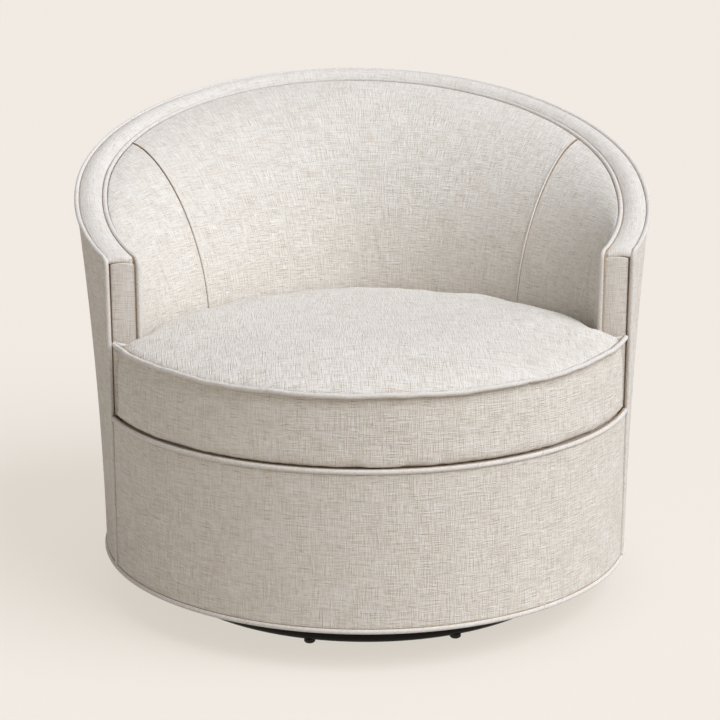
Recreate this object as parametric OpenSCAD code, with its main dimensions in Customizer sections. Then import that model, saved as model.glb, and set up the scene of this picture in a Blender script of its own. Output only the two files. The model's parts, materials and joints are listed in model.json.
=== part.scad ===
// Swivel barrel chair: a tub of three padded inside panels on a round drum,
// with a loose T-shaped seat cushion, on a steel ring base with a ball bearing.
// All sizes are in millimetres. The chair stands on its glides and faces -Y.

/* [Drum] */
// Radius of the covered drum
drum_r = 398; // [370:1:420]
// Height of the hem above the floor
hem_z = 55; // [50:1:60]
// Height of the deck, where the cushion rests
deck_z = 292; // [280:1:310]
// How far the arm fronts stand in front of the swivel axis
arm_front = 130; // [110:1:150]

/* [Back and arms] */
// How far the rim's radius stands out past the drum's
rim_over = 35; // [28:1:42]
// How far the centre of the rim lies behind the swivel axis
rim_back = 98; // [85:1:110]
// Height of the rim above its own centre
rim_z = 586; // [560:1:620]
// Slope of the rim towards the front, in degrees
rim_tilt = 15; // [10:0.5:17]
// Width of the boxed band between the two rim welts
band_w = 43; // [42:0.5:48]
// How strongly the outside flares towards the rim, 1 is straight
flare = 1.8; // [1.2:0.1:2.4]
// Thickness of the padding on the inside of the arms
arm_foam = 15; // [12:1:16]
// How far the inside back's foot lies behind the swivel axis
foot_back = 190; // [160:1:215]
// Thickness of the padding at the inside back's foot
back_foam = 80; // [60:1:95]
// Where the two inside seams meet the rim, as a share of half its length
seam_share = 0.54; // [0.4:0.01:0.7]

/* [Seat cushion] */
// How far the belly of the cushion's boxing stands out past the drum
cushion_over = 1; // [-10:0.5:3]
// Height of the cushion's boxing
boxing_h = 101; // [80:1:120]
// Rise of the cushion's crown above its top seam
crown_h = 36; // [20:1:45]
// Width of the roll round the crown's edge
crown_edge = 48; // [30:1:55]
// How far the boxing is drawn in at its seams
drawn_in = 5; // [2:0.5:8]

/* [Covers] */
// Thickness of the padded outside cover
cover_t = 6; // [4:0.5:6]
// Thickness of the band's padding
band_t = 12; // [8:0.5:14]
// Radius of the welts
welt_r = 3.4; // [2.5:0.1:4]
// Radius of the welts in the inside seams
seam_welt_r = 2.4; // [1.5:0.1:3]
// Thickness of the pad on the springs
deck_pad_t = 22; // [15:1:25]

/* [Floor ring] */
// Radius of the steel ring, at the middle of its tube
ring_r = 305; // [280:1:330]
// Diameter of the ring's tube
tube_d = 24; // [20:1:26]
// Height of the glides under the tube
glide_h = 5; // [4:0.5:8]
// Diameter of a glide
glide_d = 16; // [12:1:20]
// Number of glides
glide_count = 9; // [8:1:12]
// Width of the ring's cross arms
spoke_w = 30; // [25:1:40]
// Thickness of the ring's cross arms
spoke_t = 12; // [8:1:14]

/* [Swivel] */
// Thickness of the two swivel plates
plate_t = 4; // [3:0.5:5]
// Width of the lower swivel plate
low_plate_w = 190; // [185:1:200]
// Width of the upper swivel plate
top_plate_w = 204; // [200:1:230]
// Diameter of the bearing balls
ball_d = 10; // [8:0.5:10]
// Number of bearing balls
ball_count = 24; // [16:1:30]
// Radius of the circle that the balls run on
ball_circle_r = 75; // [70:1:80]
// Width of the two races
race_w = 26; // [22:1:30]
// Height of one race
race_h = 9; // [7:0.5:10]
// Radius of the pivot pin
pin_r = 10; // [8:0.5:12]
// Radius of the four plate bolts
bolt_r = 4; // [3:0.5:5]
// Distance from a plate bolt to the edges of the upper plate
bolt_edge = 14; // [12:1:16]

/* [Frame] */
// Thickness of the plywood base panel
panel_t = 18; // [15:1:22]
// Thickness of the plywood deck ring
deck_ring_t = 18; // [15:1:22]
// Width of the plywood deck ring
deck_ring_w = 120; // [105:1:135]
// Thickness of the seat rails
rail_t = 22; // [18:1:26]
// Thickness of the fibre boards under the covers
board_t = 3; // [2:0.5:3.5]
// Depth of the back ribs
rib_d = 14; // [10:1:15]
// Width of a back rib
rib_w = 40; // [30:1:50]
// Number of back ribs
rib_count = 9; // [5:2:11]
// Thickness of the arm posts
arm_post_t = 16; // [12:0.5:16]
// Depth of the arm posts
arm_post_d = 42; // [30:1:50]
// Height of the rail that runs round under the band
top_rail_t = 20; // [15:1:24]
// Thickness of that rail
top_rail_w = 16; // [12:0.5:18]
// Number of posts under the deck ring
post_count = 8; // [6:1:10]
// Number of seat springs
spring_count = 5; // [4:1:6]
// Distance between two seat springs
spring_pitch = 108; // [95:1:112]
// Diameter of the spring wire
wire_d = 3.8; // [3:0.1:4]
// Half of a seat spring's width
spring_amp = 23; // [18:1:26]

/* [Hidden] */
$fn = 96;
// Gap that soft and wooden pieces keep from what carries them
clear = 0.3;
// Gap of a running fit
run_clear = 0.05;
// How far a cut runs past what it cuts
over = 2;
// Chord error of a round that is drawn with straight steps
facet_gap = 0.9;
// Welts stand this much proud of the corner that they cover
welt_sink = 0.4;
// Shape of the inside padding and of the rim's front half: 2 is round, more is squarer
pad_round = 1.75;
foot_round = 1.7;
rim_square = 2.15;
band_square = 0.1;
// Steps along half the rim, from rim to seat, and from hem to rim
arm_steps = 13;
back_steps = 11;
pad_steps = 8;
wall_steps = 7;
// Room that a welt takes beside its own centre
welt_room = welt_r + clear;
welt_lift = 2 * welt_r + clear;
arm_y = -arm_front;
panel_back_y = arm_y + cover_t + clear;
rim_r = drum_r + rim_over;
inner_r = rim_r - band_w;
pad_lip = 10;
arm_gap = 2;
band_crown = 3;
// Levels of the swivel and the frame, from the floor up
tube_z = glide_h + tube_d / 2;
low_plate_z = glide_h + tube_d;
low_race_z = low_plate_z + plate_t;
race_gap = 4;
ball_z = low_race_z + race_h + race_gap / 2;
top_race_z = ball_z + race_gap / 2;
top_plate_z = top_race_z + race_h;
dust_t = 1;
dust_z = top_plate_z + plate_t;
panel_z = dust_z + dust_t;
panel_top = panel_z + panel_t;
wire_seat = 0.4;
cloth_t = 1.5;
deck_pad_z = deck_z - deck_pad_t;
cloth_z = deck_pad_z - clear - cloth_t;
wire_z = cloth_z - wire_seat - wire_d / 2 - clear;
rail_top = wire_z - wire_d / 2 - wire_seat - clear;
rail_z = rail_top - rail_t;
deck_ring_z = rail_z - deck_ring_t;
seat_line_z = deck_z + boxing_h;
// Floor ring and swivel details
glide_edge = 1.5;
glide_cup = 1.5;
glide_turn = 1.5;
plate_round = 12;
cage_w = 18;
cage_t = 2.4;
cage_gap = 0.15;
pin_head_r = 16;
pin_head_t = 5;
pin_end = 4;
washer_t = 2.5;
washer_r = 20;
nut_t = 9;
nut_r = 17;
pin_top = top_plate_z + plate_t + clear + washer_t + nut_t + pin_end;
bolt_pitch = top_plate_w - 2 * bolt_edge;
bolt_gap = 0.5;
bolt_head_t = 5.5;
bolt_head_r = 7.2;
bolt_end = 1;
tee_r = 11;
tee_t = 1.8;
// Frame details
panel_r = drum_r - cover_t - board_t - 2 * clear - facet_gap;
pin_hole_r = 30;
dust_inset = 6;
dust_r = panel_r - dust_inset;
staple_count = 32;
staple_w = 11;
staple_d = 1.2;
staple_t = 0.6;
post_d = 34;
post_w = 60;
rib_inset = cover_t + board_t + 2 * clear + facet_gap;
deck_ring_r = drum_r - rib_inset - arm_post_t - clear - facet_gap;
rail_w = 36;
rail_end = 4;
front_rail_half = acos(arm_front / drum_r) - rail_end;
rail_set = 12;
rail_gap = 2;
back_rail_y = foot_back + rail_set;
back_rail_half = sqrt(pow(deck_ring_r, 2) - pow(back_rail_y + rail_w, 2)) - rail_gap;
rail_drop = band_t + clear;
top_rail_drop = rail_drop + board_t + facet_gap + clear;
rib_drop = top_rail_drop + top_rail_t + clear;
rib_spread_share = 0.88;
panel_half = acos(arm_front / drum_r) - asin(welt_room / drum_r);
pad_low = deck_pad_z + clear;
corner_r = 9;
seam_sink = 0.8;
seam_lean_share = 1.3;
// The inside of an arm is built inwards from its post, where its padding starts
foot_w = outer_pt(1, pad_low, rib_inset + arm_post_t, panel_back_y)[0] - arm_gap - board_t - clear - arm_foam;
// Seat springs and their clips
clip_w = 16;
clip_d = 9;
spring_bars = 18;
bar_steps = 3;
spring_end = 7;
spring_turn = 8;
spring_bulge_share = 0.1;
deck_gap = 3;
// Cushion details
cushion_r = drum_r + cushion_over;
cushion_gap = 2;
welt_tip = 30;
welt_out = welt_r * cos(welt_tip);
welt_up = welt_r * sin(welt_tip);
welt_proud = max(welt_out + welt_r - drawn_in, 0);
ear_y = arm_y - welt_r - cushion_gap - welt_proud;
ear_round = 8;
front_steps = 12;
corner_steps = 3;
side_steps = 11;
middle_share = 1.18;
middle = [0, -arm_front * middle_share];
boxing_steps = 5;
roll_shares = [0.12, 0.33, 0.62, 1];
dome_shares = [0.7, 0.37];
plain_boxing_steps = 3;
plain_roll_shares = [0.33, 1];
plain_dome_shares = [0.5];
roll_share = 0.6;
roll_power = 2.2;
dome_r = 260;
cushion_low = deck_z + clear;
shell_t = 6;
core_gap = 0.5;
// Zip details
zip_edge = 30;
zip_w = 26;
zip_back = 105;
zip_y = foot_back - zip_back;
zip_l = 2 * (seat_half(zip_y) - zip_edge);
zip_room = 5;
zip_deep = 6;
zip_t = 1.4;
cover_skin = 3;
slider_l = 14;
slider_w = 9;
slider_t = 3.4;
// The whole chair is centred between its front and its back
front_reach = drum_r + welt_r - welt_sink;
back_reach = rim_back + rim_r + welt_r - welt_sink;
axis_y = (front_reach - back_reach) / 2;

fabric_color = "#e6e1d8";
welt_color = "#efe9de";
steel_color = "#1a1918";
zinc_color = "#b9bcc0";
wood_color = "#c9a878";
board_color = "#a98c62";
foam_color = "#efe6b8";
cloth_color = "#2b2b2c";

function mix(a, b, k) = a + (b - a) * k;
function unit(v) = v / norm(v);
function steps(a, b, n) = [for (i = [0:n]) mix(a, b, i / n)];
function quad(a, b, c, d) = [[a, b, c], [a, c, d]];

// A ring round the rim's centre: round behind, a little squarer in front
function squareness(r) = rim_square + band_square * (rim_r - r) / band_w;
function ring_share(s, c, n) = c < 0 ? pow(pow(abs(s), n) + pow(-c, n), -1 / n) : 1;
function ring_end(r, y) =
    let (n = squareness(r), d = (rim_back - y) / r, w = pow(1 - pow(d, n), 1 / n))
    90 + atan2(d, w);
function ring_pt(t, r, y) =
    let (a = t * ring_end(r, y), k = r * ring_share(sin(a), cos(a), squareness(r)))
    [k * sin(a), rim_back + k * cos(a)];
function rim_height(y) = rim_z + (y - rim_back) * tan(rim_tilt);
function rim_at(t, r, up) = let (p = ring_pt(t, r, panel_back_y)) concat(p, [rim_height(p[1]) + up]);
function drum_pt(t, r, y) = let (a = t * (90 + asin(-y / r))) [r * sin(a), r * cos(a)];

// The outside of the tub at a height, set in from the cover's face
function outer_pt(t, z, inset, y) =
    let (
        low = drum_pt(t, drum_r - inset, y),
        top = ring_pt(t, rim_r - inset, y),
        k = pow(max(z - hem_z, 0) / (rim_height(top[1]) - hem_z), flare),
        p = mix(low, top, k)
    ) [p[0], p[1], z];
function below_rim(t, inset, y, drop, z, tries) =
    let (p = outer_pt(t, z, inset, y))
    tries == 0 ? p : below_rim(t, inset, y, drop, rim_height(p[1]) - drop, tries - 1);
function outer_top(t, inset, y, drop) = below_rim(t, inset, y, drop, rim_z, 5);
function outer_column(t, inset, y, low, drop, n) =
    [for (z = steps(low, outer_top(t, inset, y, drop)[2], n)) outer_pt(t, z, inset, y)];

// The foot of the inside padding, and its rounded face up to the inner rim. With lean 1 the
// top stays parallel to the rim, as the hidden side of the padding does under the band.
function seat_half(y) =
    foot_w * pow(1 - pow((y - panel_back_y) / (foot_back - panel_back_y), foot_round), 1 / foot_round);
function foot_pt(t, w, back, y) =
    let (s = pow(sin(90 * abs(t)), 2 / foot_round), c = pow(cos(90 * t), 2 / foot_round))
    [sign(t) * w * s, mix(y, back, c)];
function pad_column(t, w, back, r, drop, low, y, n, lean = 0) =
    let (rim = ring_pt(t, r, y), foot = foot_pt(t, w, back, y))
    concat(
        [[foot[0], foot[1], low]],
        [for (a = steps(90, 0, n))
            let (
                u = pow(sin(a), 2 / pad_round),
                v = pow(cos(a), 2 / pad_round),
                top = rim_height(mix(rim[1], foot[1], u * lean)) - drop
            )
            concat(mix(rim, foot, u), [mix(seat_line_z, top, v)])]
    );

// Half of a seat's outline, with an ear in front of the arm, from the front round to the back
function half_seat(r, w, back, y) =
    let (
        x = sqrt(pow(r, 2) - pow(y, 2)),
        turn = asin(ear_round / r),
        stop = acos(-y / r) - turn,
        tip = [r * sin(stop), -r * cos(stop)],
        flat = [x - ear_round, y]
    )
    concat(
        [for (a = steps(0, stop, front_steps)) [r * sin(a), -r * cos(a)]],
        [for (i = [1:corner_steps]) let (k = i / corner_steps)
            mix(mix(tip, [x, y], k), mix([x, y], flat, k), k)],
        [for (t = steps(1, 0, side_steps)) foot_pt(t, w, back, y)]
    );
function whole(half) = concat(half, [for (i = [len(half) - 2:-1:1]) [-half[i][0], half[i][1]]]);
function deck_outline() = whole(half_seat(panel_r, foot_w - deck_gap, foot_back - deck_gap, arm_y - deck_gap));
function outline(inset) =
    let (gap = cushion_gap + welt_proud + inset)
    whole(half_seat(cushion_r - inset, foot_w - gap, foot_back - gap, ear_y - inset));

// Closed solid between two grids; the first one faces the seat
module slab(near, far) {
    n = len(near);
    m = len(near[0]);
    function at(side, i, j) = (side * n + i) * m + j;
    points = concat([for (row = near) each row], [for (row = far) each row]);
    faces = concat(
        [for (i = [0:n - 2], j = [0:m - 2])
            each quad(at(0, i, j), at(0, i, j + 1), at(0, i + 1, j + 1), at(0, i + 1, j))],
        [for (i = [0:n - 2], j = [0:m - 2])
            each quad(at(1, i, j), at(1, i + 1, j), at(1, i + 1, j + 1), at(1, i, j + 1))],
        [for (i = [0:n - 2])
            each quad(at(0, i, 0), at(0, i + 1, 0), at(1, i + 1, 0), at(1, i, 0))],
        [for (i = [0:n - 2])
            each quad(at(0, i + 1, m - 1), at(0, i, m - 1), at(1, i, m - 1), at(1, i + 1, m - 1))],
        [for (j = [0:m - 2])
            each quad(at(0, 0, j + 1), at(0, 0, j), at(1, 0, j), at(1, 0, j + 1))],
        [for (j = [0:m - 2])
            each quad(at(0, n - 1, j), at(0, n - 1, j + 1), at(1, n - 1, j + 1), at(1, n - 1, j))]
    );
    polyhedron(points, faces);
}

// Round tube along a path; normals say which way its first corner looks
module tube(path, r, sides, normals, closed) {
    n = len(path);
    function near(i) = closed ? (i + n) % n : min(max(i, 0), n - 1);
    points = [for (i = [0:n - 1])
        let (
            t = unit(path[near(i + 1)] - path[near(i - 1)]),
            u = unit(normals[i] - t * (normals[i] * t)),
            v = cross(t, u)
        )
        for (k = [0:sides - 1]) path[i] + r * (u * cos(360 * k / sides) + v * sin(360 * k / sides))];
    function at(i, k) = near(i) * sides + (k % sides);
    last = closed ? n - 1 : n - 2;
    walls = [for (i = [0:last], k = [0:sides - 1])
        each quad(at(i, k), at(i + 1, k), at(i + 1, k + 1), at(i, k + 1))];
    ends = closed ? [] : [
        [for (k = [0:sides - 1]) at(0, k)],
        [for (k = [sides - 1:-1:0]) at(n - 1, k)]
    ];
    polyhedron(points, concat(walls, ends));
}

// Solid built from closed rings of points, with a middle point at each end
module stack(rings, low, high) {
    n = len(rings[0]);
    m = len(rings);
    function at(l, i) = l * n + i % n;
    points = concat([for (ring = rings) each ring], [low, high]);
    faces = concat(
        [for (l = [0:m - 2], i = [0:n - 1])
            each quad(at(l, i), at(l + 1, i), at(l + 1, i + 1), at(l, i + 1))],
        [for (i = [0:n - 1]) [n * m, at(0, i), at(0, i + 1)]],
        [for (i = [0:n - 1]) [n * m + 1, at(m - 1, i + 1), at(m - 1, i)]]
    );
    polyhedron(points, faces);
}

module on_axis() {
    translate([0, axis_y, 0])
        children();
}

module annulus(r_in, r_out, h) {
    difference() {
        cylinder(r = r_out, h = h);
        translate([0, 0, -over])
            cylinder(r = r_in, h = h + 2 * over);
    }
}

// Part of a ring that lies round the front, half as wide as the angle on each side
module front_arc(half_angle) {
    rotate([0, 0, -90 - half_angle])
        rotate_extrude(angle = 2 * half_angle)
            children();
}

module ring_tube(gap) {
    translate([0, 0, tube_z])
        rotate_extrude()
            translate([ring_r, 0])
                circle(r = tube_d / 2 + gap);
}

module floor_ring() color(steel_color) on_axis() ring_tube(0);

// Four flat arms, coped to fit the ring's tube
module cross_arms() color(steel_color) on_axis() {
    difference() {
        translate([0, 0, low_plate_z - spoke_t])
            union() {
                for (turn = [0, 90])
                    rotate([0, 0, turn])
                        translate([-ring_r, -spoke_w / 2, 0])
                            cube([2 * ring_r, spoke_w, spoke_t]);
            }
        ring_tube(run_clear);
        difference() {
            translate([0, 0, low_plate_z - spoke_t - over])
                cylinder(r = ring_r + tube_d, h = spoke_t + 2 * over);
            translate([0, 0, low_plate_z - spoke_t - 2 * over])
                cylinder(r = ring_r - tube_d / 4, h = spoke_t + 4 * over);
        }
        translate([0, 0, low_plate_z - spoke_t - over])
            cylinder(r = pin_head_r + over, h = spoke_t + 2 * over);
    }
}

module glides() color(steel_color) on_axis() {
    for (i = [0:glide_count - 1])
        rotate([0, 0, (i + 0.5) * 360 / glide_count + glide_turn])
            difference() {
                translate([0, -ring_r, 0])
                    rotate_extrude()
                        polygon([
                            [0, 0], [glide_d / 2 - glide_edge, 0], [glide_d / 2, glide_edge],
                            [glide_d / 2, glide_h + glide_cup], [0, glide_h + glide_cup]
                        ]);
                ring_tube(run_clear);
            }
}

module square_plate(w, hole_r) {
    difference() {
        linear_extrude(plate_t)
            difference() {
                offset_square(w);
                circle(r = hole_r);
            }
        children();
    }
}
module offset_square(w) {
    difference() {
        square(w, center = true);
        for (x = [-1, 1], y = [-1, 1])
            translate([x * (w / 2 - plate_round), y * (w / 2 - plate_round)])
                difference() {
                    translate([x > 0 ? 0 : -plate_round - over, y > 0 ? 0 : -plate_round - over])
                        square(plate_round + over);
                    circle(r = plate_round);
                }
    }
}

module at_bolts() {
    for (x = [-1, 1], y = [-1, 1])
        translate([x * bolt_pitch / 2, y * bolt_pitch / 2, 0])
            children();
}

module bottom_plate() color(steel_color) on_axis() {
    translate([0, 0, low_plate_z])
        square_plate(low_plate_w, pin_r + run_clear);
}

module race_section(z) {
    difference() {
        translate([ball_circle_r - race_w / 2, z])
            square([race_w, race_h]);
        translate([ball_circle_r, ball_z])
            circle(r = ball_d / 2 + run_clear);
    }
}

module lower_race() color(zinc_color) on_axis() rotate_extrude() race_section(low_race_z);

module upper_race() color(zinc_color) on_axis() rotate_extrude() race_section(top_race_z);

module at_balls() {
    for (i = [0:ball_count - 1])
        rotate([0, 0, i * 360 / ball_count])
            translate([ball_circle_r, 0, ball_z])
                children();
}

module ball_cage() color(zinc_color) on_axis() {
    difference() {
        translate([0, 0, ball_z - cage_t / 2])
            annulus(ball_circle_r - cage_w / 2, ball_circle_r + cage_w / 2, cage_t);
        at_balls()
            translate([0, 0, -cage_t])
                cylinder(r = ball_d / 2 + cage_gap, h = 2 * cage_t, $fn = 32);
    }
}

module bearing_balls() color("#d9dbdd") on_axis() at_balls() sphere(d = ball_d, $fn = 32);

// The pin is held under the lower plate by its head and over the upper one by its nut
module pivot_pin() color(zinc_color) on_axis() {
    translate([0, 0, low_plate_z - pin_head_t])
        cylinder(r = pin_head_r, h = pin_head_t);
    translate([0, 0, low_plate_z])
        cylinder(r = pin_r, h = pin_top - low_plate_z);
}

module pivot_washer() color(zinc_color) on_axis() {
    translate([0, 0, top_plate_z + plate_t + clear])
        annulus(pin_r + run_clear, washer_r, washer_t);
}

module pivot_nut() color(zinc_color) on_axis() {
    translate([0, 0, top_plate_z + plate_t + clear + washer_t])
        difference() {
            cylinder(r = nut_r, h = nut_t, $fn = 6);
            translate([0, 0, -over])
                cylinder(r = pin_r + run_clear, h = nut_t + 2 * over);
        }
}

module top_plate() color(steel_color) on_axis() {
    translate([0, 0, top_plate_z])
        square_plate(top_plate_w, pin_r + run_clear)
            at_bolts()
                translate([0, 0, -over])
                    cylinder(r = bolt_r + bolt_gap, h = plate_t + 2 * over, $fn = 32);
}

module plate_bolts() color(zinc_color) on_axis() at_bolts() {
    translate([0, 0, top_plate_z - bolt_head_t])
        cylinder(r = bolt_head_r, h = bolt_head_t, $fn = 6);
    translate([0, 0, top_plate_z])
        cylinder(r = bolt_r, h = panel_top + tee_t + bolt_end - top_plate_z, $fn = 32);
}

module tee_nuts() color(zinc_color) on_axis() at_bolts() {
    translate([0, 0, panel_top])
        difference() {
            cylinder(r = tee_r, h = tee_t, $fn = 32);
            translate([0, 0, -over])
                cylinder(r = bolt_r + run_clear, h = tee_t + 2 * over, $fn = 32);
        }
}

module base_panel() color(wood_color) on_axis() {
    translate([0, 0, panel_z])
        difference() {
            annulus(pin_hole_r, panel_r, panel_t);
            at_bolts()
                translate([0, 0, -over])
                    cylinder(r = bolt_r + bolt_gap, h = panel_t + 2 * over, $fn = 32);
        }
}

module dust_cover() color(cloth_color) on_axis() {
    translate([0, 0, dust_z])
        difference() {
            annulus(pin_hole_r, dust_r, dust_t - clear / 2);
            at_bolts()
                translate([0, 0, -over])
                    cylinder(r = bolt_r + bolt_gap, h = dust_t + 2 * over, $fn = 32);
        }
}

module dust_staples() color(zinc_color) on_axis() {
    for (i = [0:staple_count - 1])
        rotate([0, 0, (i + 0.5) * 360 / staple_count])
            translate([dust_r - 2 * dust_inset, -staple_w / 2, dust_z - staple_t])
                cube([staple_d, staple_w, staple_t]);
}

module drum_posts() color(wood_color) on_axis() {
    for (i = [0:post_count - 1])
        rotate([0, 0, (i + 0.5) * 360 / post_count])
            translate([deck_ring_r - deck_ring_w / 2 - post_d / 2, -post_w / 2, panel_top])
                cube([post_d, post_w, deck_ring_z - panel_top]);
}

module deck_ring() color(wood_color) on_axis() {
    translate([0, 0, deck_ring_z])
        annulus(deck_ring_r - deck_ring_w, deck_ring_r, deck_ring_t);
}

module front_rail() color(wood_color) on_axis() {
    front_arc(front_rail_half)
        translate([deck_ring_r - rail_w, rail_z])
            square([rail_w, rail_t]);
}

module back_rail() color(wood_color) on_axis() {
    translate([-back_rail_half, back_rail_y, rail_z])
        cube([2 * back_rail_half, rail_w, rail_t]);
}

// Upright that follows the outside cover, from the base panel to under the top rail
module upright(t0, t1, depth) {
    slab(
        [for (t = [t0, t1]) outer_column(t, rib_inset + depth, panel_back_y, panel_top, rib_drop, wall_steps)],
        [for (t = [t0, t1]) outer_column(t, rib_inset, panel_back_y, panel_top, rib_drop, wall_steps)]
    );
}
drum_turn = 90 + asin(arm_front / drum_r);

module back_ribs() color(wood_color) on_axis() {
    half = asin(rib_w / 2 / drum_r) / drum_turn;
    for (i = [0:rib_count - 1]) {
        t = mix(-rib_spread_share, rib_spread_share, i / (rib_count - 1));
        upright(t - half, t + half, rib_d);
    }
}

module arm_posts() color(wood_color) on_axis() {
    span = asin(arm_post_d / drum_r) / drum_turn;
    upright(1 - span, 1, arm_post_t);
    upright(-1, span - 1, arm_post_t);
}

module top_rail() color(wood_color) on_axis() {
    drops = [top_rail_drop + top_rail_t, top_rail_drop];
    inset = rib_inset + top_rail_w;
    slab(
        [for (t = rim_ts) [for (drop = drops) outer_top(t, inset, panel_back_y, drop)]],
        [for (t = rim_ts) [for (drop = drops) outer_top(t, rib_inset, panel_back_y, drop)]]
    );
}

back_ts = steps(-seam_share, seam_share, 2 * back_steps);
side_ts = steps(seam_share, 1, arm_steps);
rim_ts = concat(
    [for (i = [arm_steps:-1:1]) -side_ts[i]], back_ts, [for (i = [1:arm_steps]) side_ts[i]]
);

module front_board() color(board_color) on_axis() {
    front_arc(panel_half)
        translate([drum_r - cover_t - clear - board_t, panel_z])
            square([board_t, deck_z - welt_lift - panel_z]);
}

module outer_skin(inset, t, low, drop) {
    slab(
        [for (k = rim_ts) outer_column(k, inset + t, panel_back_y, low, drop, wall_steps)],
        [for (k = rim_ts) outer_column(k, inset, panel_back_y, low, drop, wall_steps)]
    );
}

module outer_board() color(board_color) on_axis() {
    outer_skin(cover_t + clear, board_t, hem_z + welt_lift, rail_drop);
}

module outer_cover() color(fabric_color) on_axis() {
    outer_skin(0, cover_t, hem_z + welt_lift, welt_room + welt_sink);
}

module front_panel() color(fabric_color) on_axis() {
    front_arc(panel_half)
        translate([drum_r - cover_t, hem_z + welt_lift])
            square([cover_t, deck_z - 2 * welt_lift - hem_z]);
}

module inner_board() color(board_color) on_axis() {
    gap = facet_gap + clear;
    slab(
        [for (t = rim_ts) pad_column(t, foot_w + arm_foam + clear, foot_back + back_foam + gap,
            inner_r + pad_lip + clear, rail_drop, pad_low, panel_back_y, pad_steps + 1, 1)],
        [for (t = rim_ts) pad_column(t, foot_w + arm_foam + clear + board_t,
            foot_back + back_foam + gap + board_t, inner_r + pad_lip + clear + board_t,
            rail_drop + board_t, pad_low, panel_back_y, pad_steps + 1, 1)]
    );
}

// The padding's face ends beside the inner welt and turns down under it
function pad_face(t) =
    let (
        face = pad_column(t, foot_w, foot_back, inner_r - welt_room, 0, pad_low, panel_back_y, pad_steps),
        end = face[len(face) - 1]
    )
    concat(face, [[end[0], end[1], end[2] - band_t - clear]]);
module padding(ts) {
    slab(
        [for (t = ts) pad_face(t)],
        [for (t = ts) pad_column(t, foot_w + arm_foam, foot_back + back_foam,
            inner_r + pad_lip, band_t + clear, pad_low, panel_back_y, pad_steps + 1, 1)]
    );
}

// Half of the gap that a seam's welt takes, measured where the seam is tightest
probe_share = 0.01;
seam_span = norm(foot_pt(seam_share + probe_share, foot_w, foot_back, panel_back_y)
    - foot_pt(seam_share - probe_share, foot_w, foot_back, panel_back_y)) / (2 * probe_share);
seam_half_share = (seam_lean_share * seam_welt_r + clear) / seam_span;
module back_pad() color(fabric_color) on_axis() {
    end = seam_share - seam_half_share;
    padding(concat([-end], [for (i = [1:2 * back_steps - 1]) back_ts[i]], [end]));
}

arm_ts = concat([seam_share + seam_half_share], [for (i = [1:arm_steps]) side_ts[i]]);
module arm_pad_right() color(fabric_color) on_axis() padding(arm_ts);

module arm_pad_left() color(fabric_color) on_axis() padding([for (i = [arm_steps:-1:0]) -arm_ts[i]]);

// The boxed band is a little crowned between its two welts and lies inside the cover
band_steps = 5;
module top_band() color(fabric_color) on_axis() {
    in_r = inner_r + welt_room;
    out_r = rim_r - welt_sink - welt_room;
    edge = cover_t + clear;
    shares = steps(0, 1, band_steps - 1);
    slab(
        [for (t = rim_ts) concat(
            [for (k = shares) rim_at(t, mix(in_r, out_r, k), band_crown * 4 * k * (1 - k))],
            [outer_top(t, edge, panel_back_y, welt_room)])],
        [for (t = rim_ts)
            let (low = rim_at(t, in_r, -band_t), high = outer_top(t, edge, panel_back_y, band_t))
            steps_between(low, high, band_steps)]
    );
}
function steps_between(a, b, n) = [for (i = [0:n]) mix(a, b, i / n)];

front_out_x = ring_pt(1, rim_r, arm_y)[0];
front_in_x = ring_pt(1, inner_r, arm_y)[0];
module arm_front() {
    low = front_in_x + welt_room + clear;
    high = min(front_out_x, drum_pt(1, drum_r, arm_y)[0]) - welt_room;
    top = rim_height(arm_y) - welt_room;
    translate([0, arm_y + cover_t, 0])
        rotate([90, 0, 0])
            linear_extrude(cover_t)
                polygon(concat(
                    [[high, deck_z], [high, top]],
                    [for (k = steps(0, 1, 6)) [mix(high, low, k), top + band_crown * 4 * k * (1 - k)]],
                    [[low, deck_z]]
                ));
}

module arm_front_right() color(fabric_color) on_axis() arm_front();

module arm_front_left() color(fabric_color) on_axis() mirror([1, 0, 0]) arm_front();

// A welt's path along the rim, with its two ends turned down the arm fronts
function rim_path(r, low, foot_x) =
    let (
        half = [for (t = concat([0], [for (t = rim_ts) if (t > 0) t]))
            let (p = ring_pt(t, r, panel_back_y)) concat(p, [rim_height(p[1]) - welt_sink])],
        corner = ring_pt(1, r, arm_y),
        end = concat(corner, [rim_height(corner[1]) - welt_sink]),
        near = [for (p = half) if (norm(p - end) > 2 * corner_r) p],
        start = end + corner_r * unit(near[len(near) - 1] - end),
        down = [end[0], end[1], end[2] - corner_r],
        bend = [for (k = steps(0, 1, 5)) mix(mix(start, end, k), mix(end, down, k), k)],
        drop = [for (k = steps(0, 1, 4)) mix(down, [foot_x, arm_y, low], k)],
        right = concat(near, bend, [for (i = [1:4]) drop[i]]),
        m = len(right)
    )
    concat([for (i = [m - 1:-1:1]) [-right[i][0], right[i][1], right[i][2]]], right);
module rim_welt(r, low, foot_x) {
    path = rim_path(r, low, foot_x);
    tube(path, welt_r, 8, [for (p = path) [p[0], p[1] - rim_back, 0]], false);
}

module outer_welt() color(welt_color) on_axis() {
    rim_welt(rim_r - welt_sink, hem_z + welt_lift, drum_pt(1, drum_r - welt_sink, arm_y)[0]);
}

module inner_welt() color(welt_color) on_axis() {
    rim_welt(inner_r, deck_z, front_in_x);
}

// A welt in the seam between the inside back and an arm
module seam_welt(side) {
    t = side * seam_share;
    face = pad_column(t, foot_w, foot_back, inner_r - welt_room - clear, 0, pad_low, panel_back_y, pad_steps);
    foot = foot_pt(t, foot_w, foot_back, arm_y);
    across = unit([-(foot[1] - arm_y), foot[0], 0]);
    last = len(face) - 1;
    path = [for (i = [0:last])
        let (up = unit(face[min(i + 1, last)] - face[max(i - 1, 0)]))
        face[i] + seam_sink * cross(across, up)];
    tube(path, seam_welt_r, 8, [for (p = path) across], false);
}

module seam_welt_right() color(welt_color) on_axis() seam_welt(1);

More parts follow.
